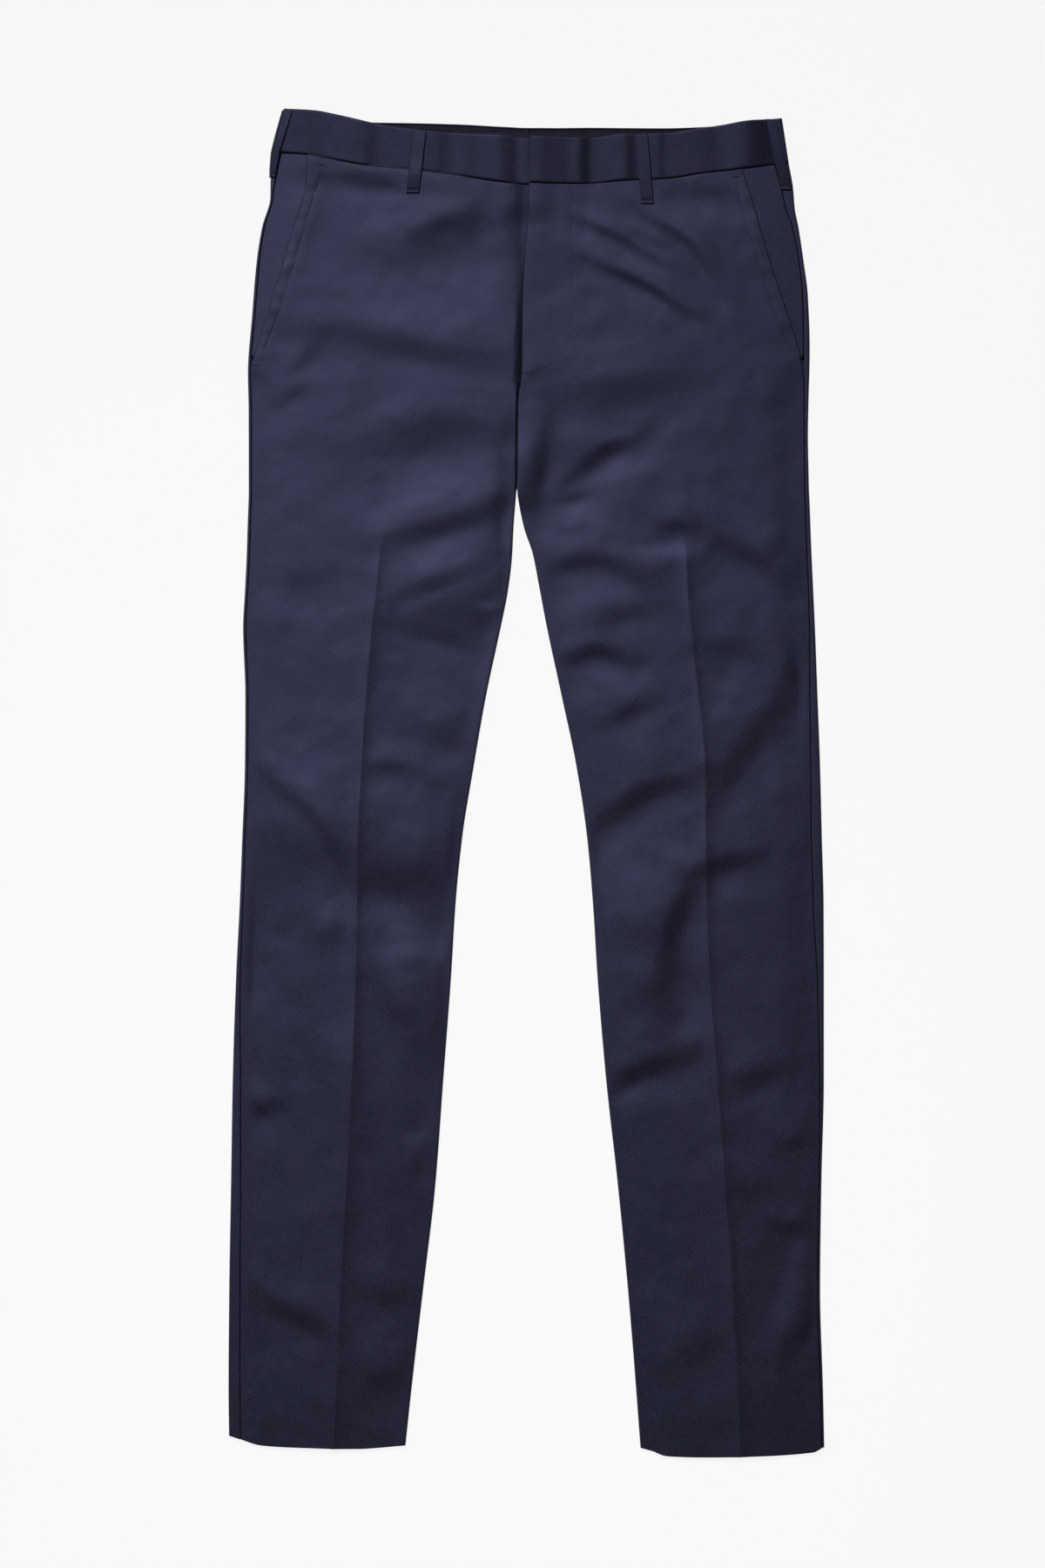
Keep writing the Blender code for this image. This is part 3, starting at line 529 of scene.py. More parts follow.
def soft_floor(height, lowest):
    """The height, softly kept above the lowest one."""
    return lowest + FLOOR_SOFTNESS * np.logaddexp(0.0, (height - lowest) / FLOOR_SOFTNESS)


def quarter_arc(radius):
    """Arc length from a folded edge's crest to where the cloth lies level."""
    return CREST + (radius - CREST) * math.pi / 2


def fold_section(arc, radius, outset=0.0):
    """Distance in from a folded edge's crest, and height, at arc lengths from the crest.

    The arc is positive over the top and negative underneath. The outset lies outside the fold.
    """
    arc = np.asarray(arc, float)
    bend = radius - CREST
    length = np.abs(arc)
    quarter = quarter_arc(radius)
    angle = np.clip((length - CREST) / bend, 0.0, math.pi / 2)
    inset = bend - (bend + outset) * np.cos(angle)
    rise = CREST + (bend + outset) * np.sin(angle)
    rise = np.where(length <= CREST, length, rise)
    inset = np.where(length > quarter, bend + length - quarter, inset)
    return inset, radius + np.sign(arc) * rise


def arc_at(inset, radius):
    """Arc length of the point at a distance in from the crest, where the cloth lies level."""
    return inset - (radius - CREST) + quarter_arc(radius)


def roll_drop(distance, radius):
    """How far a rolled edge lies below the cloth beside it, at a distance in from the edge."""
    into = np.clip(radius - distance, 0.0, radius)
    return radius - np.sqrt(np.maximum(radius ** 2 - into ** 2, 0.0))


def lattice_noise(x, y, cell, seed):
    """Smooth uneven values from -1 to 1 over the plane, the same for the same seed."""
    across_size, up_size = LATTICE
    rows = np.random.default_rng(seed).uniform(-1.0, 1.0, LATTICE)
    column = np.floor(x / cell).astype(int)
    row = np.floor(y / cell).astype(int)
    across = smooth_step(x / cell - column)
    up = smooth_step(y / cell - row)
    left = column % across_size
    right = (column + 1) % across_size
    levels = [mix(rows[left, at % up_size], rows[right, at % up_size], across) for at in (row, row + 1)]
    return mix(levels[0], levels[1], up)


def rumple(x, y, layers, seed):
    """Fine unevenness of cloth, from layers of (lattice size, height)."""
    total = 0.0
    cosine, sine = LATTICE_TURN
    turned_x = cosine * x + sine * y + LATTICE_ORIGIN
    turned_y = cosine * y - sine * x + LATTICE_ORIGIN
    for i, (cell, height) in enumerate(layers):
        total = total + height * lattice_noise(turned_x, turned_y, cell, seed + i)
    return total


def fold_rise(fold, across, y):
    """Height that one fold adds: raised on the left of its direction and sunk on the right.

    It is steepest along its line and tapers off at both ends. A positive lean makes the sunk side
    come back to level more slowly, and a negative one the raised side.
    """
    run = fold.across_end - fold.across
    climb = fold.y_end - fold.y
    length = math.hypot(run, climb)
    along = ((across - fold.across) * run + (y - fold.y) * climb) / length
    aside = ((y - fold.y) * run - (across - fold.across) * climb) / length
    share = np.clip(along / length, 0.0, 1.0)
    taper = FOLD_TAPER_BY_WIDTH * fold.half_width + FOLD_TAPER_BY_LENGTH * length
    beyond = (along - share * length) / taper
    arch = np.sin(np.pi * share) ** 2
    aside = aside - fold.bow * arch
    aside = aside / fold.half_width
    side = np.sign(aside)
    reach = FOLD_REACH * (1 + FOLD_LEAN * np.maximum(-fold.lean * side, 0.0))
    steep = aside * np.exp(0.5 - 0.5 * aside ** 2)
    far = side * np.exp(-0.5 * ((np.abs(aside) - 1) / reach) ** 2)
    section = np.where(np.abs(aside) < 1, steep, far)
    return fold.rise * section * np.exp(-FOLD_TAPER_RATE * beyond ** 2) * (FOLD_END + (1 - FOLD_END) * arch)


def route(points, spacing):
    """Points along a smooth curve through a few given points, about a spacing apart."""
    points = np.array(points, float)
    lengths = np.concatenate([[0.0], np.cumsum(np.hypot(*np.diff(points, axis=0).T))])
    at = spaced(0.0, lengths[-1], spacing)
    curves = [smooth_curve(list(zip(lengths, points[:, axis]))) for axis in (0, 1)]
    return np.stack([curve(at) for curve in curves], axis=1)


def distance_to(points, across, y):
    """Distance from each place to a line through points."""
    nearest = np.full(np.shape(across), np.inf)
    for (a, b), (c, d) in zip(points[:-1], points[1:]):
        run = c - a
        climb = d - b
        share = np.clip(((across - a) * run + (y - b) * climb) / (run ** 2 + climb ** 2), 0.0, 1.0)
        nearest = np.minimum(nearest, np.hypot(across - a - share * run, y - b - share * climb))
    return nearest


def back_rise(x, y):
    """Height by which the centre-back belt loop lifts what lies on it."""
    sideways = 1 - smooth_step((np.abs(x) - BACK_RISE_HALF_WIDTH) / BACK_RISE_FADE)
    upward = smooth_step((y - BACK_RISE_LOW_Y + BACK_RISE_FADE) / BACK_RISE_FADE)
    return BACK_RISE * sideways * upward


class Half:
    """One half of the trousers: its outline curves and the heights of its cloth."""

    def __init__(self, name, sign, sections, waist, band_top_side, hem, slash, folds, band,
                 stitches, hem_stitches, broad_crease, seed):
        self.name = name
        self.sign = sign
        self.seed = seed
        self.top = sections[0].y
        for column in ("outer", "inner", "crease", "seam"):
            setattr(self, column, smooth_curve([(row.y, getattr(row, column)) for row in sections]))
        for column in ("front_seam", "front_top", "back_seam", "back_top"):
            setattr(self, column, smooth_curve([(row.across, getattr(row, column)) for row in waist]))
        self.hem = smooth_curve(hem)
        self.slash = smooth_curve(slash)
        self.slash_low = slash[-1][0]
        self.side_low = sections[0].outer
        self.side_top = band_top_side
        self.side_top_y = waist[-1].front_top
        self.folds = folds
        self.band = smooth_curve(band)
        self.pocket_line = route(stitches, STITCH_PITCH)
        self.hem_line = route(hem_stitches, STITCH_PITCH)
        self.fly_line = route(FLY_STITCHES, STITCH_PITCH)
        self.crease_top = broad_crease[0][0]
        self.broad_crease = smooth_curve(broad_crease)

    def leg_share(self, y):
        """0 above the crotch, where the front ends at a flat centre seam, and 1 down the leg."""
        return smooth_step((CROTCH_Y - y) / CROTCH_LENGTH)

    def side(self, y):
        """The folded side's distance from the centre line, also up the waistband."""
        share = (y - self.top) / (self.side_top_y - self.top)
        return np.where(y <= self.top, self.outer(y), mix(self.side_low, self.side_top, share))

    def side_seam(self, y):
        """Where the side seam lies on the front."""
        return self.outer(y) - self.seam(y)

    def fly_rise(self, across, y):
        """How the fly lifts the left front at its lap and sinks the right front under it."""
        closed = smooth_step((y - FLY_SEAM_Y) / (FLY_TACK_Y - FLY_SEAM_Y))
        if self.name == "left":
            edge = LAP_EDGE_RISE * closed * (1 - smooth_step(across / LAP_EDGE_WIDTH))
            lap = LAP_RISE * (1 - smooth_step((across - LAP_CURVE(y)) / LAP_FADE))
            return edge + lap - self.channel(self.fly_line, across, y)
        under = 1 - smooth_step((across - UNDERLAP_START + UNDERLAP_FADE) / UNDERLAP_FADE)
        before_edge = FLY_EDGE_CURVE(y) + GROOVE_BEFORE_EDGE - across
        return -UNDERLAP_DROP * closed * under - GROOVE_CURVE(y) * smooth_step(before_edge / GROOVE_SLOPE)

    def slash_rise(self, across, y):
        """How the pocket edge stands over the facing, with the pucker of its sewn strip."""
        beside = self.slash(y) - across
        open_part = smooth_step((y - SLASH_START_Y) / SLASH_START_LENGTH)
        strip = smooth_step(beside / PUCKER_START)
        strip = strip * (1 - smooth_step((beside - PUCKER_WIDTH) / PUCKER_FADE))
        at = y + PUCKER_ORIGIN
        wobble = PUCKER_WOBBLE * lattice_noise(at, at, PUCKER_WOBBLE_SIZE, self.seed + PUCKER_SEED)
        pucker = PUCKER_RISE * np.sin(2 * np.pi * y / PUCKER_PITCH + wobble) * strip
        near = 1 - smooth_step(beside / SLASH_FADE)
        return open_part * (SLASH_RISE * near + pucker)

    def channel(self, line, across, y):
        """How deep the cloth is drawn in along a row of stitches."""
        return CHANNEL_DEPTH * np.exp(-(distance_to(line, across, y) / CHANNEL_WIDTH) ** 2)

    def crease_rise(self, across, y):
        """Ridge of the pressed crease."""
        pressed = smooth_step((self.crease_top - y) / CREASE_FADE)
        aside = np.hypot(across - self.crease(y), CREASE_TIP) - CREASE_TIP
        fine = FINE_CREASE_RISE * np.exp(-aside / FINE_CREASE_SPREAD)
        return pressed * (fine + self.broad_crease(y) * np.exp(-aside / BROAD_CREASE_SPREAD))

    def front_height(self, across, y):
        """Height of the front's upper face, before its edges turn down."""
        leg = self.leg_share(y)
        to_side = self.outer(y) - across
        to_inner = across - self.inner(y)
        room = smooth_step(to_side / SOFT_EDGE) * mix(1.0, smooth_step(to_inner / SOFT_EDGE), leg)
        fold_room = smooth_step((to_side - self.seam(y)) / FOLD_ROOM)
        fold_room = fold_room * mix(1.0, smooth_step(to_inner / FOLD_ROOM), leg)
        waist = smooth_step((self.front_seam(across) - y) / WAIST_FLAT)
        loft = LOFT * mix(WAIST_LOFT_SHARE, 1.0, waist * smooth_step((y - HEM_Y) / HEM_FLAT))
        folds = sum(fold_rise(fold, across, y) for fold in self.folds)
        folds = folds + rumple(self.sign * across, y, RUMPLES, self.seed)
        height = EDGE_HEIGHT + room * (loft + self.crease_rise(across, y)) + fold_room * folds
        height = height + self.fly_rise(across, y) + self.slash_rise(across, y)
        height = height - self.channel(self.pocket_line, across, y)
        height = height - HEM_CHANNEL * self.channel(self.hem_line, across, y)
        height = height + HEM_STEP * smooth_step((HEM_Y + HEM_TURN - y) / HEM_STEP_LENGTH)
        return soft_floor(height, LOWEST_FRONT) + back_rise(across, y)

    def facing_height(self, across, y):
        """Height of the pocket facing, which runs from under the pocket edge to the side seam."""
        slash = self.slash(y)
        under = self.front_height(slash, y) - FACING_STEP
        width = np.maximum(self.side_seam(y) - slash, FACING_NARROWEST)
        share = np.clip((across - slash) / width, 0.0, 1.0)
        return mix(np.minimum(under, FACING_HIGHEST), EDGE_HEIGHT, share)

    def band_height(self, across, y):
        """Height of the waistband's upper face, on the front."""
        height = BAND_HEIGHT + self.band(across)
        height = height + rumple(self.sign * across, y, BAND_RUMPLES, self.seed + BAND_SEED)
        return np.maximum(height, LOWEST_BAND) + back_rise(across, y)

    def curved(self, across, level, waist_seam):
        """The y of a point on a row, which follows the waist seam at the top and the hem below."""
        to_waist = smooth_step((level - WAIST_CURVE_Y) / (self.top - WAIST_CURVE_Y))
        to_hem = smooth_step((HEM_Y + HEM_CURVE_LENGTH - level) / HEM_CURVE_LENGTH)
        y = level + to_waist * (waist_seam(across) - SEAM_GAP / 2 - self.top)
        return y + to_hem * (self.hem(across) - HEM_Y)

    def front_edge(self, level):
        """Outer edge of the front: the pocket edge, and the side seam below it."""
        seam_edge = self.side_seam(level) - SEAM_GAP / 2
        return np.where(level <= self.slash_low, seam_edge, np.minimum(seam_edge, self.slash(level)))

    def back_centre(self, level):
        """Centre-back edge of the back, which becomes the inner edge of the leg."""
        share = np.clip((level - CROTCH_Y) / (BACK_TOP_Y - CROTCH_Y), 0.0, 1.0)
        seat = self.sign * mix(BACK_CROTCH_X, BACK_TOP_X, np.sqrt(share)) + SEAM_GAP / 2
        return np.where(level < CROTCH_Y, self.inner(level), seat)

    def place(self, across, y, z):
        """Points in metres in the trousers' frame, as one array of rows, columns and axes."""
        across, y, z = np.broadcast_arrays(across, y, z)
        return np.stack([self.sign * across, y, z], axis=-1) * MM


FLY_EDGE_CURVE = smooth_curve(FLY_EDGE)
GROOVE_CURVE = smooth_curve(GROOVE_DEPTH)
LAP_CURVE = smooth_curve([(y, across) for across, y in FLY_STITCHES] + [LAP_LOW_END])

# ------------------------------------------------------------------ where the points of a panel lie
EDGE_STEPS = np.array([0.0, 0.12, 0.3, 0.55, 0.85, 1.2, 1.7, 2.4, 3.4, 4.8])
INNER_ARCS = np.array([0.15, 0.4, 0.75, 1.1, 1.5, 2.0, 2.6, 3.5, 4.8])
CREASE_STEPS = np.array([0.5, 1.2, 2.1, 3.2, 4.6, 6.4, 8.6])
STRIP_STEPS = np.array(
    [0.0, 0.12, 0.3, 0.55, 0.85, 1.2, 1.7, 2.3, 3.1, 4.1, 5.2, 6.3, 7.4, 8.5, 9.6, 10.8, 12.2])
FACING_STEPS = EDGE_STEPS[:6]
LOOP_STEPS = EDGE_STEPS[:8]
BACK_STRIP_SHARES = np.array([0.0, 0.04, 0.1, 0.2, 0.35, 0.55, 0.78, 1.0])
ROW_SPACING = 3.0
ALLOWANCE = ((0.05, 0.3), (3.0, 0.5))
BAND_ALLOWANCE = np.array([0.05, 3.0])
BAND_ALLOWANCE_RISE = np.array([0.4, 0.4])
INNER_COLUMNS = 31
OUTER_COLUMNS = 26
BEND_COLUMNS = 12
BACK_COLUMNS = 44
FACING_SPACING = 3.0
FACING_COLUMNS = 19
BAND_SPACING = 1.7
BAND_ROW_SPACING = 2.0
BAND_BACK_SPACING = 4.0
BAND_BACK_START = 6.0
BAND_BEND_COLUMNS = 17
BAND_TALL_ACROSS = 100.0
BAND_FRONT_END = 1.5
BAND_FRONT_GAP = 1.0
BAND_SETTLE_START = 2.0
BAND_SETTLE_FADE = 9.0
LOOP_SPACING = 1.2
LOOP_ROW_SPACING = 1.5
LOOP_SIDE_COLUMNS = 14
LOOP_NEAR = 3.0
LOOP_EVENED = 4
LOOP_SEAM_ABOVE = 2.6
LOOP_SEAM_WIDTH = 0.8
LOOP_SEAM_DEPTH = {"front": 0.35, "side": 0.3}


def edged(low, high, spacing, steps=EDGE_STEPS):
    """Positions from low to high, about a spacing apart but closer together near both ends."""
    body = spaced(low + steps[-1], high - steps[-1], spacing)[1:-1]
    return np.concatenate([low + steps, body, high - steps[::-1]])


def panel_levels(half):
    """Levels of a panel's rows from the hem to the waist seam."""
    return edged(HEM_Y, half.top, ROW_SPACING)[:, None]


def inner_edge(half, level):
    """Insets and drops of the points at a front's inner edge: sewn flat above, folded down the leg."""
    leg = half.leg_share(level)
    folded_inset, folded_height = fold_section(INNER_ARCS, EDGE_RADIUS)
    flat_inset = INNER_ARCS - SEAM_GAP / 2
    lap = smooth_step((level - FLY_SEAM_Y) / (FLY_TACK_Y - FLY_SEAM_Y))
    flat_drop = mix(roll_drop(flat_inset, CENTRE_SEAM_ROLL), roll_drop(flat_inset, LAP_ROLL), lap)
    return mix(flat_inset, folded_inset, leg), mix(flat_drop, EDGE_HEIGHT - folded_height, leg)


def with_allowance(points):
    """The points with a seam allowance past the waist seam, tucked under the waistband."""
    edge = points[-1]
    tucked = [edge + np.array([0.0, past, -under]) * MM for past, under in ALLOWANCE]
    return np.concatenate([points, tucked])


def front_points(half):
    """Points of a front, from its centre or inner edge to the pocket edge or the side seam."""
    level = panel_levels(half)
    inner = half.inner(level)
    crease = half.crease(level)
    outer = half.front_edge(level)
    inset, drop = inner_edge(half, level)
    start = inner + inset[:, -1:]
    crease_low = crease - CREASE_STEPS[-1]
    crease_high = crease + CREASE_STEPS[-1]
    inside = mix(start, crease_low, np.linspace(0, 1, INNER_COLUMNS + 1)[1:-1])
    outside = mix(crease_high, outer - STRIP_STEPS[-1], np.linspace(0, 1, OUTER_COLUMNS + 1)[1:-1])
    crease_part = crease + np.concatenate([-CREASE_STEPS[::-1], [0.0], CREASE_STEPS])
    across = np.concatenate(
        [inner + inset, inside, crease_part, outside, outer - STRIP_STEPS[::-1]], axis=1)
    y = half.curved(across, level, half.front_seam)
    height = half.front_height(across, y)
    height[:, :inset.shape[1]] -= drop
    pocket = smooth_step((level - half.slash_low) / POCKET_ROLL_FADE)
    to_edge = STRIP_STEPS[::-1]
    edge_roll = mix(roll_drop(to_edge, SEAM_ROLL), roll_drop(to_edge, SLASH_ROLL), pocket)
    height[:, -len(STRIP_STEPS):] -= edge_roll
    height -= roll_drop(level - HEM_Y, HEM_ROLL) + roll_drop(half.top - level, WAIST_ROLL)
    return with_allowance(half.place(across, y, height))


def back_points(half):
    """Points of a back, from the side seam on the front, round the fold, to the centre back."""
    level = panel_levels(half)
    outer = half.outer(level)
    centre = half.back_centre(level)
    quarter = quarter_arc(EDGE_RADIUS)
    seam_arc = arc_at(half.seam(level) + SEAM_GAP / 2, EDGE_RADIUS) - SEAM_GAP
    strip = mix(seam_arc, quarter, BACK_STRIP_SHARES)
    bend = np.linspace(quarter, -quarter, BEND_COLUMNS + 1)[1:]
    bend = np.broadcast_to(bend, (len(level), BEND_COLUMNS))
    arcs = np.concatenate([strip, bend], axis=1)
    inset, height = fold_section(arcs, EDGE_RADIUS)
    height[:, :strip.shape[1]] -= roll_drop(seam_arc - strip, SEAM_ROLL)
    low_inset, low_height = fold_section(-INNER_ARCS[::-1], EDGE_RADIUS)
    leg = half.leg_share(level)
    low_inset = mix(INNER_ARCS[::-1] - SEAM_GAP / 2, low_inset, leg)
    low_height = low_height * leg
    start = outer - inset[:, -1:]
    end = centre + low_inset[:, :1]
    flat = mix(start, end, np.linspace(0, 1, BACK_COLUMNS + 2)[1:-1])
    across = np.concatenate([outer - inset, flat, centre + low_inset], axis=1)
    y = half.curved(across, level, half.back_seam)
    below = under_rise(half, flat, y[:, inset.shape[1]:-len(INNER_ARCS)])
    height = np.concatenate([height, below, low_height], axis=1)
    points = half.place(across, y, height + back_rise(across, y))
    tucked = [points]
    for past, under in ALLOWANCE:
        folded_inset, folded_height = fold_section(arcs[-1], EDGE_RADIUS, -under)
        shift = np.zeros((1, across.shape[1], 3))
        shift[0, :, 1] = past
        shift[0, :, 2] = under
        shift[0, :len(folded_inset), 0] = half.sign * (inset[-1] - folded_inset)
        shift[0, :len(folded_height), 2] = folded_height - height[-1, :len(folded_height)]
        tucked.append(points[-1:] + shift * MM)
    return np.concatenate(tucked)


def under_rise(half, across, y):
    """Height of a back's outer face above the ground: shallow folds and the pressed back crease."""
    room = smooth_step((half.outer(y) - across) / UNDER_ROOM)
    room = room * smooth_step((across - half.inner(y)) / UNDER_ROOM)
    folds = sum(fold_rise(fold, across, y + UNDER_SHIFT * half.sign) for fold in UNDER_FOLDS)
    pressed = smooth_step((half.crease_top + CREASE_FADE - y) / CREASE_FADE)
    aside = (across - half.crease(y)) / UNDER_CREASE_WIDTH
    return room * (np.maximum(folds, 0.0) + pressed * UNDER_CREASE_RISE * np.exp(-aside ** 2))


def facing_points(half):
    """Points of a pocket facing, from under the front's pocket edge to the side seam."""
    level = panel_levels(half)
    level = level[level[:, 0] > FACING_LOW_Y]
    slash = half.slash(level)
    seam = half.side_seam(level) - SEAM_GAP / 2
    edge = FACING_STEPS
    hidden = slash - spaced(FACING_UNDER_FRONT, 0.0, FACING_SPACING)[:-1]
    shown = mix(slash, seam - edge[-1], np.linspace(0, 1, FACING_COLUMNS + 1)[:-1])
    across = np.concatenate([hidden, shown, seam - edge[::-1]], axis=1)
    y = half.curved(across, level, half.front_seam)
    height = half.facing_height(across, y)
    height[:, -len(edge):] -= roll_drop(edge[::-1], SEAM_ROLL)
    height -= roll_drop(half.top - level, WAIST_ROLL)
    return with_allowance(half.place(across, y, height))


def band_points(half, centre_front):
    """Points of half a waistband, from the centre front, round the side, to the centre back."""
    length = half.side_low - centre_front
    end = centre_front + EDGE_STEPS
    start = np.concatenate([end[:-1], spaced(end[-1], half.side_low - BAND_FRONT_END, BAND_SPACING)])
    tall = float(half.front_top(BAND_TALL_ACROSS) - half.front_seam(BAND_TALL_ACROSS))
    up = edged(0.0, tall, BAND_ROW_SPACING)[:, None]
    share = up / tall
    side = mix(half.side_low, half.side_top, share)
    scale = (side - centre_front) / length
    quarter = quarter_arc(BAND_RADIUS)
    front_start = start[start < half.side_low - (BAND_RADIUS - CREST) - BAND_FRONT_GAP]
    across = centre_front + (front_start - centre_front) * scale
    y = mix(half.front_seam(front_start) + SEAM_GAP / 2, half.front_top(front_start), share)
    height = half.band_height(across, y)
    if half.name == "left":
        height = height - roll_drop(front_start - centre_front, BAND_ROLL)
    settle = smooth_step((side - across - BAND_SETTLE_START) / BAND_SETTLE_FADE)
    height = mix(BAND_HEIGHT, height, settle)
    edge_drop = roll_drop(up, BAND_ROLL) + roll_drop(tall - up, BAND_ROLL)
    arcs = np.linspace(quarter, -quarter, BAND_BEND_COLUMNS)
    inset, fold_height = fold_section(arcs, BAND_RADIUS)
    fold_top = np.where(arcs > 0, half.front_top(half.side_low), half.back_top(half.side_low))
    fold_y = mix(half.top + SEAM_GAP / 2, fold_top, share)
    fold_z = np.broadcast_to(fold_height, fold_y.shape)
    back_start = spaced(half.side_low - BAND_BACK_START, SEAM_GAP / 2, BAND_BACK_SPACING)
    back_across = back_start * side / half.side_low
    back_y = mix(half.back_seam(back_start) + SEAM_GAP / 2, half.back_top(back_start), share)
    back_z = back_rise(back_across, back_y)
    if half.name == "right":
        back_across = np.concatenate([back_across, back_across[:, -1:] - BAND_ALLOWANCE], axis=1)
        last = np.repeat(back_y[:, -1:], len(BAND_ALLOWANCE), axis=1)
        back_y = np.concatenate([back_y, last], axis=1)
        back_z = np.concatenate([back_z, back_z[:, -1:] + BAND_ALLOWANCE_RISE], axis=1)
    all_across = np.concatenate([across, side - inset, back_across], axis=1)
    all_y = np.concatenate([y, fold_y, back_y], axis=1)
    top_side = np.concatenate([np.ones(across.shape[1]), smooth_step(0.5 + arcs / quarter / 2),
                               np.zeros(back_across.shape[1])])
    all_z = np.concatenate([height, fold_z, back_z], axis=1) + edge_drop * (1 - 2 * top_side)
    return half.place(all_across, all_y, all_z)


def height_below_loop(half, across, y):
    """Highest cloth near a point under a belt loop, on the band or on the front below it."""
    heights = []
    for near in (y - LOOP_NEAR, y, y + LOOP_NEAR):
        on_band = near > half.front_seam(across)
        heights.append(np.where(on_band, half.band_height(across, near), half.front_height(across, near)))
    return np.max(heights, axis=0)


def loop_ends(low, high):
    """Levels along a belt loop, closer together at both ends, and how far each lies from an end."""
    y = edged(low, high, LOOP_ROW_SPACING)[:, None]
    return y, np.minimum(y - low, high - y)


def loop_seam(loop, y, where):
    """How deep a belt loop is drawn in where it is sewn down, near its lower end."""
    aside = (y - loop.low_y - LOOP_SEAM_ABOVE) / LOOP_SEAM_WIDTH
    return LOOP_SEAM_DEPTH[where] * np.exp(-aside ** 2)


def front_loop_points(loop, half):
    """Points of a belt loop on the front, sewn at both ends and free between them."""
    y, to_end = loop_ends(loop.low_y, loop.top_y)
    share = (y - loop.low_y) / (loop.top_y - loop.low_y)
    middle = mix(loop.low_across, loop.top_across, share)
    half_width = loop.width / 2
    aside = edged(-half_width, half_width, LOOP_SPACING, LOOP_STEPS)
    under = np.max([height_below_loop(half, middle + s * half_width, y) for s in (-1, 0, 1)], axis=0)
    count = 2 * LOOP_EVENED + 1
    padded = np.pad(under[:, 0], LOOP_EVENED, mode="edge")
    under = np.convolve(padded, np.ones(count) / count, mode="valid")[:, None]
    height = under + SEAM_GAP + LOOP_WALL + LOOP_STANDOFF * np.sin(np.pi * share)
    height = height - roll_drop(half_width - np.abs(aside), LOOP_ROLL) - roll_drop(to_end, LOOP_ROLL)
    height = height - loop_seam(loop, y, "front")
    return half.place(middle + aside, y, height)


def side_loop_points(loop, half):
    """Points of a belt loop that lies over the folded side."""
    y, to_end = loop_ends(loop.low_y, loop.top_y)
    share = (y - loop.low_y) / (loop.top_y - loop.low_y)
    inner_arc = arc_at(mix(loop.low_across, loop.top_across, share), BAND_RADIUS)
    outer_arc = np.maximum(inner_arc - loop.width, SIDE_LOOP_LOWEST_ARC)
    rest = np.linspace(0, 1, LOOP_SIDE_COLUMNS + 1)[1:]
    rest = mix(inner_arc - LOOP_STEPS[-1], outer_arc, rest)
    arcs = np.concatenate([inner_arc - LOOP_STEPS, rest], axis=1)
    outset = SEAM_GAP + LOOP_WALL + LOOP_STANDOFF * np.sin(np.pi * share)
    outset = outset - roll_drop(inner_arc - arcs, LOOP_ROLL) - roll_drop(to_end, LOOP_ROLL)
    outset = outset - loop_seam(loop, y, "side")
    inset, height = fold_section(arcs, BAND_RADIUS)
    bend = BAND_RADIUS - CREST
    angle = np.clip((np.abs(arcs) - CREST) / bend, 0.0, math.pi / 2)
    inset = inset - outset * np.cos(angle)
    height = height + np.sign(arcs) * outset * np.sin(angle)
    return half.place(half.side(y) - inset, y, height)


def back_loop_points():
    """Points of the centre-back belt loop, whose outer face lies on the ground."""
    y, to_end = loop_ends(BACK_LOOP_LOW_Y, BACK_LOOP_TOP_Y)
    half_width = BACK_LOOP_WIDTH / 2
    x = -edged(-half_width, half_width, LOOP_SPACING, LOOP_STEPS)
    height = roll_drop(half_width - np.abs(x), BACK_LOOP_ROLL) + roll_drop(to_end, BACK_LOOP_ROLL)
    x, y, height = np.broadcast_arrays(x, y, height)
    return np.stack([x, y, height], axis=-1) * MM


# ------------------------------------------------------------------ meshes
def add_item(name, data):
    """An object with its data, in the scene."""
    item = bpy.data.objects.new(name, data)
    bpy.context.scene.collection.objects.link(item)
    return item


def new_object(name, points, faces, materials):
    """A smooth-shaded mesh object."""
    mesh = bpy.data.meshes.new(name)
    mesh.from_pydata(points, [], faces)
    for material in materials:
        mesh.materials.append(material)
    mesh.shade_smooth()
    return add_item(name, mesh)


def grid_faces(rows, columns, mirrored):
    """Faces of a grid of points."""
    at = np.arange(rows * columns).reshape(rows, columns)
    corners = [at[:-1, :-1], at[:-1, 1:], at[1:, 1:], at[1:, :-1]]
    if mirrored:
        corners.reverse()
    return np.stack(corners, axis=-1).reshape(-1, 4)


def add_cloth(name, points, wall, materials, mirrored=False):
    """Thin cloth: an open surface through a grid of points, made solid inwards."""
    rows, columns = points.shape[:2]
    faces = grid_faces(rows, columns, mirrored)
    piece = new_object(name, points.reshape(-1, 3).tolist(), faces.tolist(), materials)
    solid = piece.modifiers.new("cloth", "SOLIDIFY")
    solid.thickness = wall * MM
    solid.offset = -1.0
    solid.material_offset = len(materials) - 1
    return piece


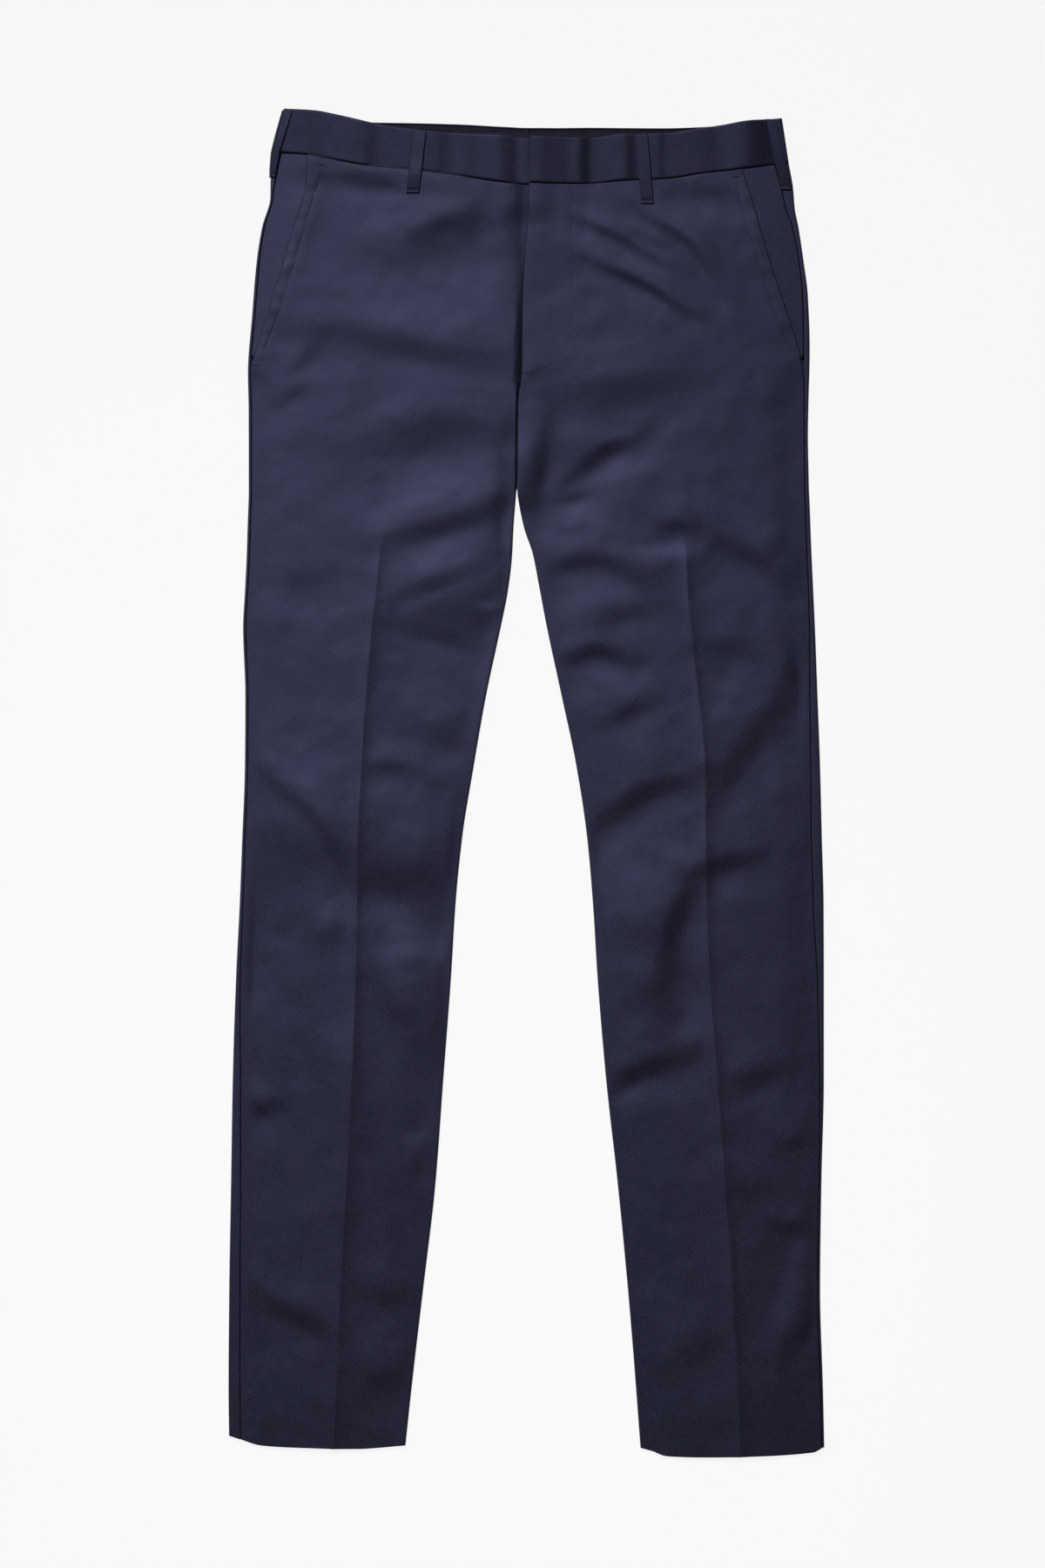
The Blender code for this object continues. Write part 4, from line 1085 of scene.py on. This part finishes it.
def add_threads(name, starts, ends, radius, material):
    """One mesh of many short round threads, each from a start to an end, in millimetres."""
    starts = np.asarray(starts, float)
    ends = np.asarray(ends, float)
    run = ends - starts
    run /= np.linalg.norm(run, axis=1)[:, None]
    side = np.cross(run, [0.0, 0.0, 1.0])
    side /= np.linalg.norm(side, axis=1)[:, None]
    up = np.cross(side, run)
    points = [starts[:, None]]
    turns = np.arange(CAPSULE_SIDES) * 2 * np.pi / CAPSULE_SIDES
    for share, width in zip(CAPSULE_SHARES, CAPSULE_WIDTHS):
        middle = mix(starts, ends, share)[:, None]
        ring = np.cos(turns)[:, None] * side[:, None] + np.sin(turns)[:, None] * up[:, None]
        points.append(middle + radius * width * ring)
    points.append(ends[:, None])
    points = np.concatenate(points, axis=1)
    count = points.shape[1]
    pattern = []
    for i in range(CAPSULE_SIDES):
        after = (i + 1) % CAPSULE_SIDES
        last = 1 + (len(CAPSULE_SHARES) - 1) * CAPSULE_SIDES
        pattern.append((0, 1 + after, 1 + i))
        pattern.append((count - 1, last + i, last + after))
        for ring in range(len(CAPSULE_SHARES) - 1):
            low = 1 + ring * CAPSULE_SIDES
            high = low + CAPSULE_SIDES
            pattern.append((low + i, low + after, high + after, high + i))
    faces = [tuple(count * n + corner for corner in face) for n in range(len(points)) for face in pattern]
    return new_object(name, (points.reshape(-1, 3) * MM).tolist(), faces, [material])


def add_stitches(name, line, height_at, material, length=STITCH_LENGTH, sunk=STITCH_SUNK):
    """A row of stitches along a line of places, lying on the cloth. height_at takes x and y."""
    middle = (line[:-1] + line[1:]) / 2
    run = np.diff(line, axis=0)
    run = run / np.linalg.norm(run, axis=1)[:, None] * length / 2
    ends = []
    for sign in (-1, 1):
        place = middle + sign * run
        ends.append(np.column_stack([place, height_at(place[:, 0], place[:, 1]) - sunk]))
    return add_threads(name, ends[0], ends[1], THREAD_RADIUS, material)


def add_tack(tack, height_at, material):
    """A bar tack: a close row of short slanted threads across its line."""
    turn = math.radians(tack.degrees)
    along = np.array([math.cos(turn), math.sin(turn)])
    across = np.array([-along[1], along[0]])
    centre = np.array([tack.x, tack.y])
    offsets = spaced(-tack.length / 2, tack.length / 2, TACK_PITCH)[:, None]
    places = [centre + offsets * along - across * TACK_WIDTH / 2,
              centre + (offsets + TACK_PITCH / 2) * along + across * TACK_WIDTH / 2]
    ends = [np.column_stack([place, height_at(place[:, 0], place[:, 1]) + TACK_RAISED]) for place in places]
    return add_threads(tack.name, ends[0], ends[1], THREAD_RADIUS * TACK_THREAD, material)


# ------------------------------------------------------------------ materials
def set_inputs(tree, node, inputs):
    """Sets a node's inputs: another node's output is linked, anything else is a value."""
    for name, value in inputs.items():
        if isinstance(value, bpy.types.NodeSocket):
            tree.links.new(value, node.inputs[name])
        else:
            node.inputs[name].default_value = value


def add_node(tree, kind, inputs, **settings):
    """A node with its settings and its inputs."""
    node = tree.nodes.new(kind)
    for name, value in settings.items():
        setattr(node, name, value)
    set_inputs(tree, node, inputs)
    return node


def new_material(name):
    """A material with its node tree and its shader."""
    material = bpy.data.materials.new(name)
    material.use_nodes = True
    return material, material.node_tree, material.node_tree.nodes["Principled BSDF"]


def scaled_place(tree, scale):
    """The object's own place, in metres, times a scale for each axis."""
    place = tree.nodes.new("ShaderNodeTexCoord").outputs["Object"]
    return add_node(tree, "ShaderNodeMapping", {"Vector": place, "Scale": scale}).outputs["Vector"]


def ranged(tree, value, low, high):
    """A 0 to 1 value spread over another range."""
    node = add_node(tree, "ShaderNodeMapRange", {"Value": value, "To Min": low, "To Max": high})
    return node.outputs["Result"]


def plus(tree, first, second):
    """The sum of two values."""
    return add_node(tree, "ShaderNodeMath", {0: first, 1: second}, operation="ADD").outputs["Value"]


def yarns(tree, pitch, direction, distortion):
    """Bands a pitch apart, in metres, as the yarns of a weave."""
    node = add_node(tree, "ShaderNodeTexWave", {
        "Vector": scaled_place(tree, (1.0, 1.0, 1.0)), "Scale": math.pi / 10 / pitch,
        "Distortion": distortion, "Detail": 1.0, "Detail Scale": 1.5,
    }, wave_type="BANDS", bands_direction=direction)
    return node.outputs["Fac"]


def noise(tree, scale, detail):
    """Uneven values whose patches have a size of one over the scale, in metres."""
    node = add_node(tree, "ShaderNodeTexNoise", {
        "Vector": scaled_place(tree, scale), "Scale": 1.0, "Detail": detail, "Roughness": 0.6})
    return node.outputs["Fac"]


def bumped(tree, height, strength, distance):
    """The surface's direction, bent by a height."""
    node = add_node(tree, "ShaderNodeBump", {"Height": height, "Strength": strength, "Distance": distance})
    return node.outputs["Normal"]


def sateen(name, dark, light, roughness, specular, sheen, bump):
    """Fine sateen: warp yarns with uneven speckle and patches of slightly different depth."""
    material, tree, shader = new_material(name)
    speckle = noise(tree, SPECKLE_SCALE, 2.0)
    slubs = noise(tree, SLUB_SCALE, 2.0)
    cloudy = noise(tree, CLOUD_SCALE, 3.0)
    broad = noise(tree, BROAD_SCALE, 2.0)
    grain = plus(tree, ranged(tree, slubs, -1.4, 1.4), ranged(tree, speckle, -0.8, 0.8))
    patches = plus(tree, ranged(tree, cloudy, 0.0, 0.5), ranged(tree, broad, 0.0, 0.5))
    weave = plus(tree, yarns(tree, WARP_PITCH, "X", 1.5), yarns(tree, WEFT_PITCH, "Y", 2.5))
    relief = plus(tree, ranged(tree, weave, 0.0, 0.08), ranged(tree, speckle, 0.0, 0.7))
    relief = plus(tree, relief, ranged(tree, slubs, 0.0, 0.6))
    colour = tree.nodes.new("ShaderNodeMix")
    colour.data_type = "RGBA"
    colour.clamp_factor = True
    set_inputs(tree, colour, {0: plus(tree, grain, patches), 6: dark + (1.0,), 7: light + (1.0,)})
    set_inputs(tree, shader, {
        "Base Color": colour.outputs[2], "Normal": bumped(tree, relief, 1.0, bump * MM),
        "Roughness": roughness, "Specular IOR Level": specular, "Specular Tint": GLOSS_TINT,
        "Sheen Weight": sheen, "Sheen Roughness": 0.45, "Sheen Tint": SHEEN_TINT})
    return material


def nickel(name):
    """Pressed steel with a dull nickel plate and fine wear."""
    material, tree, shader = new_material(name)
    scratches = noise(tree, SCRATCH_SCALE, 4.0)
    set_inputs(tree, shader, {
        "Base Color": (0.56, 0.56, 0.54, 1.0), "Metallic": 1.0,
        "Roughness": ranged(tree, scratches, 0.22, 0.42),
        "Normal": bumped(tree, scratches, 0.15, 0.00005)})
    return material


# ------------------------------------------------------------------ stage
def add_floor():
    """A plain pale floor just under the cloth."""
    signs = ((-1, -1), (1, -1), (1, 1), (-1, 1))
    corners = [(x * FLOOR_HALF, y * FLOOR_HALF, FLOOR_LEVEL) for x, y in signs]
    material, tree, shader = new_material("floor")
    grain = noise(tree, FLOOR_SCALE, 2.0)
    tones = {channel: ranged(tree, grain, *FLOOR_TONES) for channel in ("Red", "Green", "Blue")}
    set_inputs(tree, shader, {
        "Base Color": add_node(tree, "ShaderNodeCombineColor", tones).outputs["Color"],
        "Roughness": 0.9, "Specular IOR Level": 0.0,
        "Emission Color": WHITE, "Emission Strength": FLOOR_GLOW})
    floor = new_object("floor", corners, [(0, 1, 2, 3)], [material])


def add_light(lamp):
    """A square soft light, aimed at the middle line of the trousers at a level along it."""
    light = bpy.data.lights.new(lamp.name, "AREA")
    light.shape = "SQUARE"
    light.size = lamp.size
    light.spread = math.radians(lamp.spread)
    light.energy = lamp.power
    place = Vector((lamp.x, lamp.y, lamp.z))
    item = add_item(lamp.name, light)
    item.location = place
    item.rotation_euler = (Vector((0.0, lamp.aim_y, 0.0)) - place).to_track_quat("-Z", "Y").to_euler()


def add_lights():
    """Soft studio light from the upper left, with weak fills."""
    for lamp in LAMPS:
        add_light(lamp)
    world = bpy.data.worlds.new("studio")
    world.use_nodes = True
    sky = world.node_tree.nodes["Background"]
    set_inputs(world.node_tree, sky, {"Color": WHITE, "Strength": WORLD_STRENGTH})
    bpy.context.scene.world = world
    bpy.context.scene.view_settings.view_transform = "Standard"


def add_camera():
    """A camera straight above, with the photograph's framing."""
    lens = bpy.data.cameras.new("camera")
    lens.lens = LENS
    lens.sensor_width = SENSOR
    camera = add_item("camera", lens)
    distance = FIELD_HEIGHT * LENS / SENSOR
    camera.location = (CAMERA_X * MM, CAMERA_Y * MM, (distance + CLOTH_LEVEL) * MM)
    bpy.context.scene.camera = camera


# ------------------------------------------------------------------ the trousers
HALVES = {
    "right": Half("right", -1, RIGHT_SECTIONS, RIGHT_WAIST, RIGHT_BAND_TOP_SIDE, RIGHT_HEM,
                  RIGHT_SLASH, RIGHT_FOLDS, RIGHT_BAND, RIGHT_POCKET_STITCHES, RIGHT_HEM_STITCHES,
                  RIGHT_CREASE_RISE, seed=11),
    "left": Half("left", 1, LEFT_SECTIONS, LEFT_WAIST, LEFT_BAND_TOP_SIDE, LEFT_HEM, LEFT_SLASH,
                 LEFT_FOLDS, LEFT_BAND, LEFT_POCKET_STITCHES, LEFT_HEM_STITCHES, LEFT_CREASE_RISE, seed=12),
}


def finished(piece, slot, *nodes):
    """The piece rides on the one body and stands for its solids, which are hidden."""
    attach(piece, "root")
    if nodes:
        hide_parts(*nodes)
    return piece


def add_sewing(thread, tack_thread):
    """Every visible row of stitches and bar tack, by the cloth piece that it is sewn to."""
    sewing = {}

    def keep(owner, piece):
        sewing.setdefault(owner, []).append(finished(piece, "trouser_cloth"))

    def height_on(half):
        return lambda x, y: half.front_height(half.sign * x, y)

    for name, half in HALVES.items():
        owner = "cloth_front_" + name
        flip = np.array([half.sign, 1.0])
        on_half = height_on(half)
        keep(owner, add_stitches("stitches_pocket_" + name, half.pocket_line * flip, on_half, thread))
        row = add_stitches("stitches_hem_" + name, half.hem_line * flip, on_half, thread,
                           HEM_STITCH_LENGTH, HEM_STITCH_SUNK)
        keep(owner, row)
    left = HALVES["left"]
    keep("cloth_front_left", add_stitches("stitches_fly", left.fly_line, height_on(left), thread))
    for tack in TACKS:
        half = HALVES["right"] if tack.x < RIGHT_TACKS_BELOW_X else left
        keep("cloth_front_" + half.name, add_tack(tack, height_on(half), tack_thread))
    inside = route(BAND_INSIDE_STITCHES, STITCH_PITCH)
    keep("cloth_waistband_left", add_stitches(
        "stitches_band_inside", inside, lambda x, y: BAND_WALL + back_rise(x, y), thread, sunk=0.0))
    return sewing


PANELS = (
    ("cloth_front_", "front_", front_points),
    ("cloth_back_", "back_", back_points),
    ("cloth_facing_", "pocket_facing_", facing_points),
)


def add_trousers():
    """Every cloth piece with its sewing."""
    cloth = sateen("trouser cloth", CLOTH_DARK, CLOTH_LIGHT, 0.50, 0.8, 0.05, 0.12)
    band_cloth = sateen("waistband cloth", CLOTH_DARK, CLOTH_LIGHT, 0.50, 0.52, 0.05, 0.12)
    lining = sateen("waistband inside", (0.012, 0.010, 0.016), (0.026, 0.022, 0.034), 0.75, 0.3, 0.1, 0.1)
    # Stitch thread: the thread's own dark navy, made near black as painted shade of the needle holes and
    # puckers along each row of stitches
    thread = sateen("thread", (0.001, 0.001, 0.002), (0.004, 0.004, 0.007), 0.7, 0.15, 0.0, 0.03)
    tack_thread = sateen("tack thread", (0.006, 0.006, 0.014), (0.02, 0.02, 0.04), 0.5, 0.6, 0.2, 0.03)
    tape = sateen("zip tape", (0.006, 0.006, 0.012), (0.013, 0.014, 0.026), 0.8, 0.3, 0.1, 0.1)
    pieces = []
    for name, half in HALVES.items():
        mirrored = half.sign < 0
        for part, node, make_points in PANELS:
            piece = add_cloth(part + name, make_points(half), CLOTH_WALL, [cloth], mirrored)
            pieces.append(finished(piece, "trouser_cloth", node + name))
        centre_front = half.inner(half.top) if name == "left" else -BAND_UNDERLAP
        points = band_points(half, float(centre_front))
        band = add_cloth("cloth_waistband_" + name, points, BAND_WALL, [band_cloth, lining], mirrored)
        pieces.append(finished(band, "waistband_cloth", "waistband_" + name))
    for loops, make_points in ((FRONT_LOOPS, front_loop_points), (SIDE_LOOPS, side_loop_points)):
        for loop in loops:
            half = HALVES[loop.half]
            points = make_points(loop, half)
            piece = add_cloth("cloth_" + loop.name, points, LOOP_WALL, [band_cloth], half.sign < 0)
            pieces.append(finished(piece, "waistband_cloth", loop.name))
    piece = add_cloth("cloth_belt_loop_back", back_loop_points(), LOOP_WALL, [band_cloth])
    pieces.append(finished(piece, "waistband_cloth", "belt_loop_back"))
    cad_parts["fly_zip"].data.materials[0] = tape
    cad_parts["waist_hook"].data.materials[0] = nickel("hook metal")
    return {piece.name: piece for piece in pieces}, add_sewing(thread, tack_thread)


add_floor()
add_lights()
add_camera()
PIECES, SEWING = add_trousers()
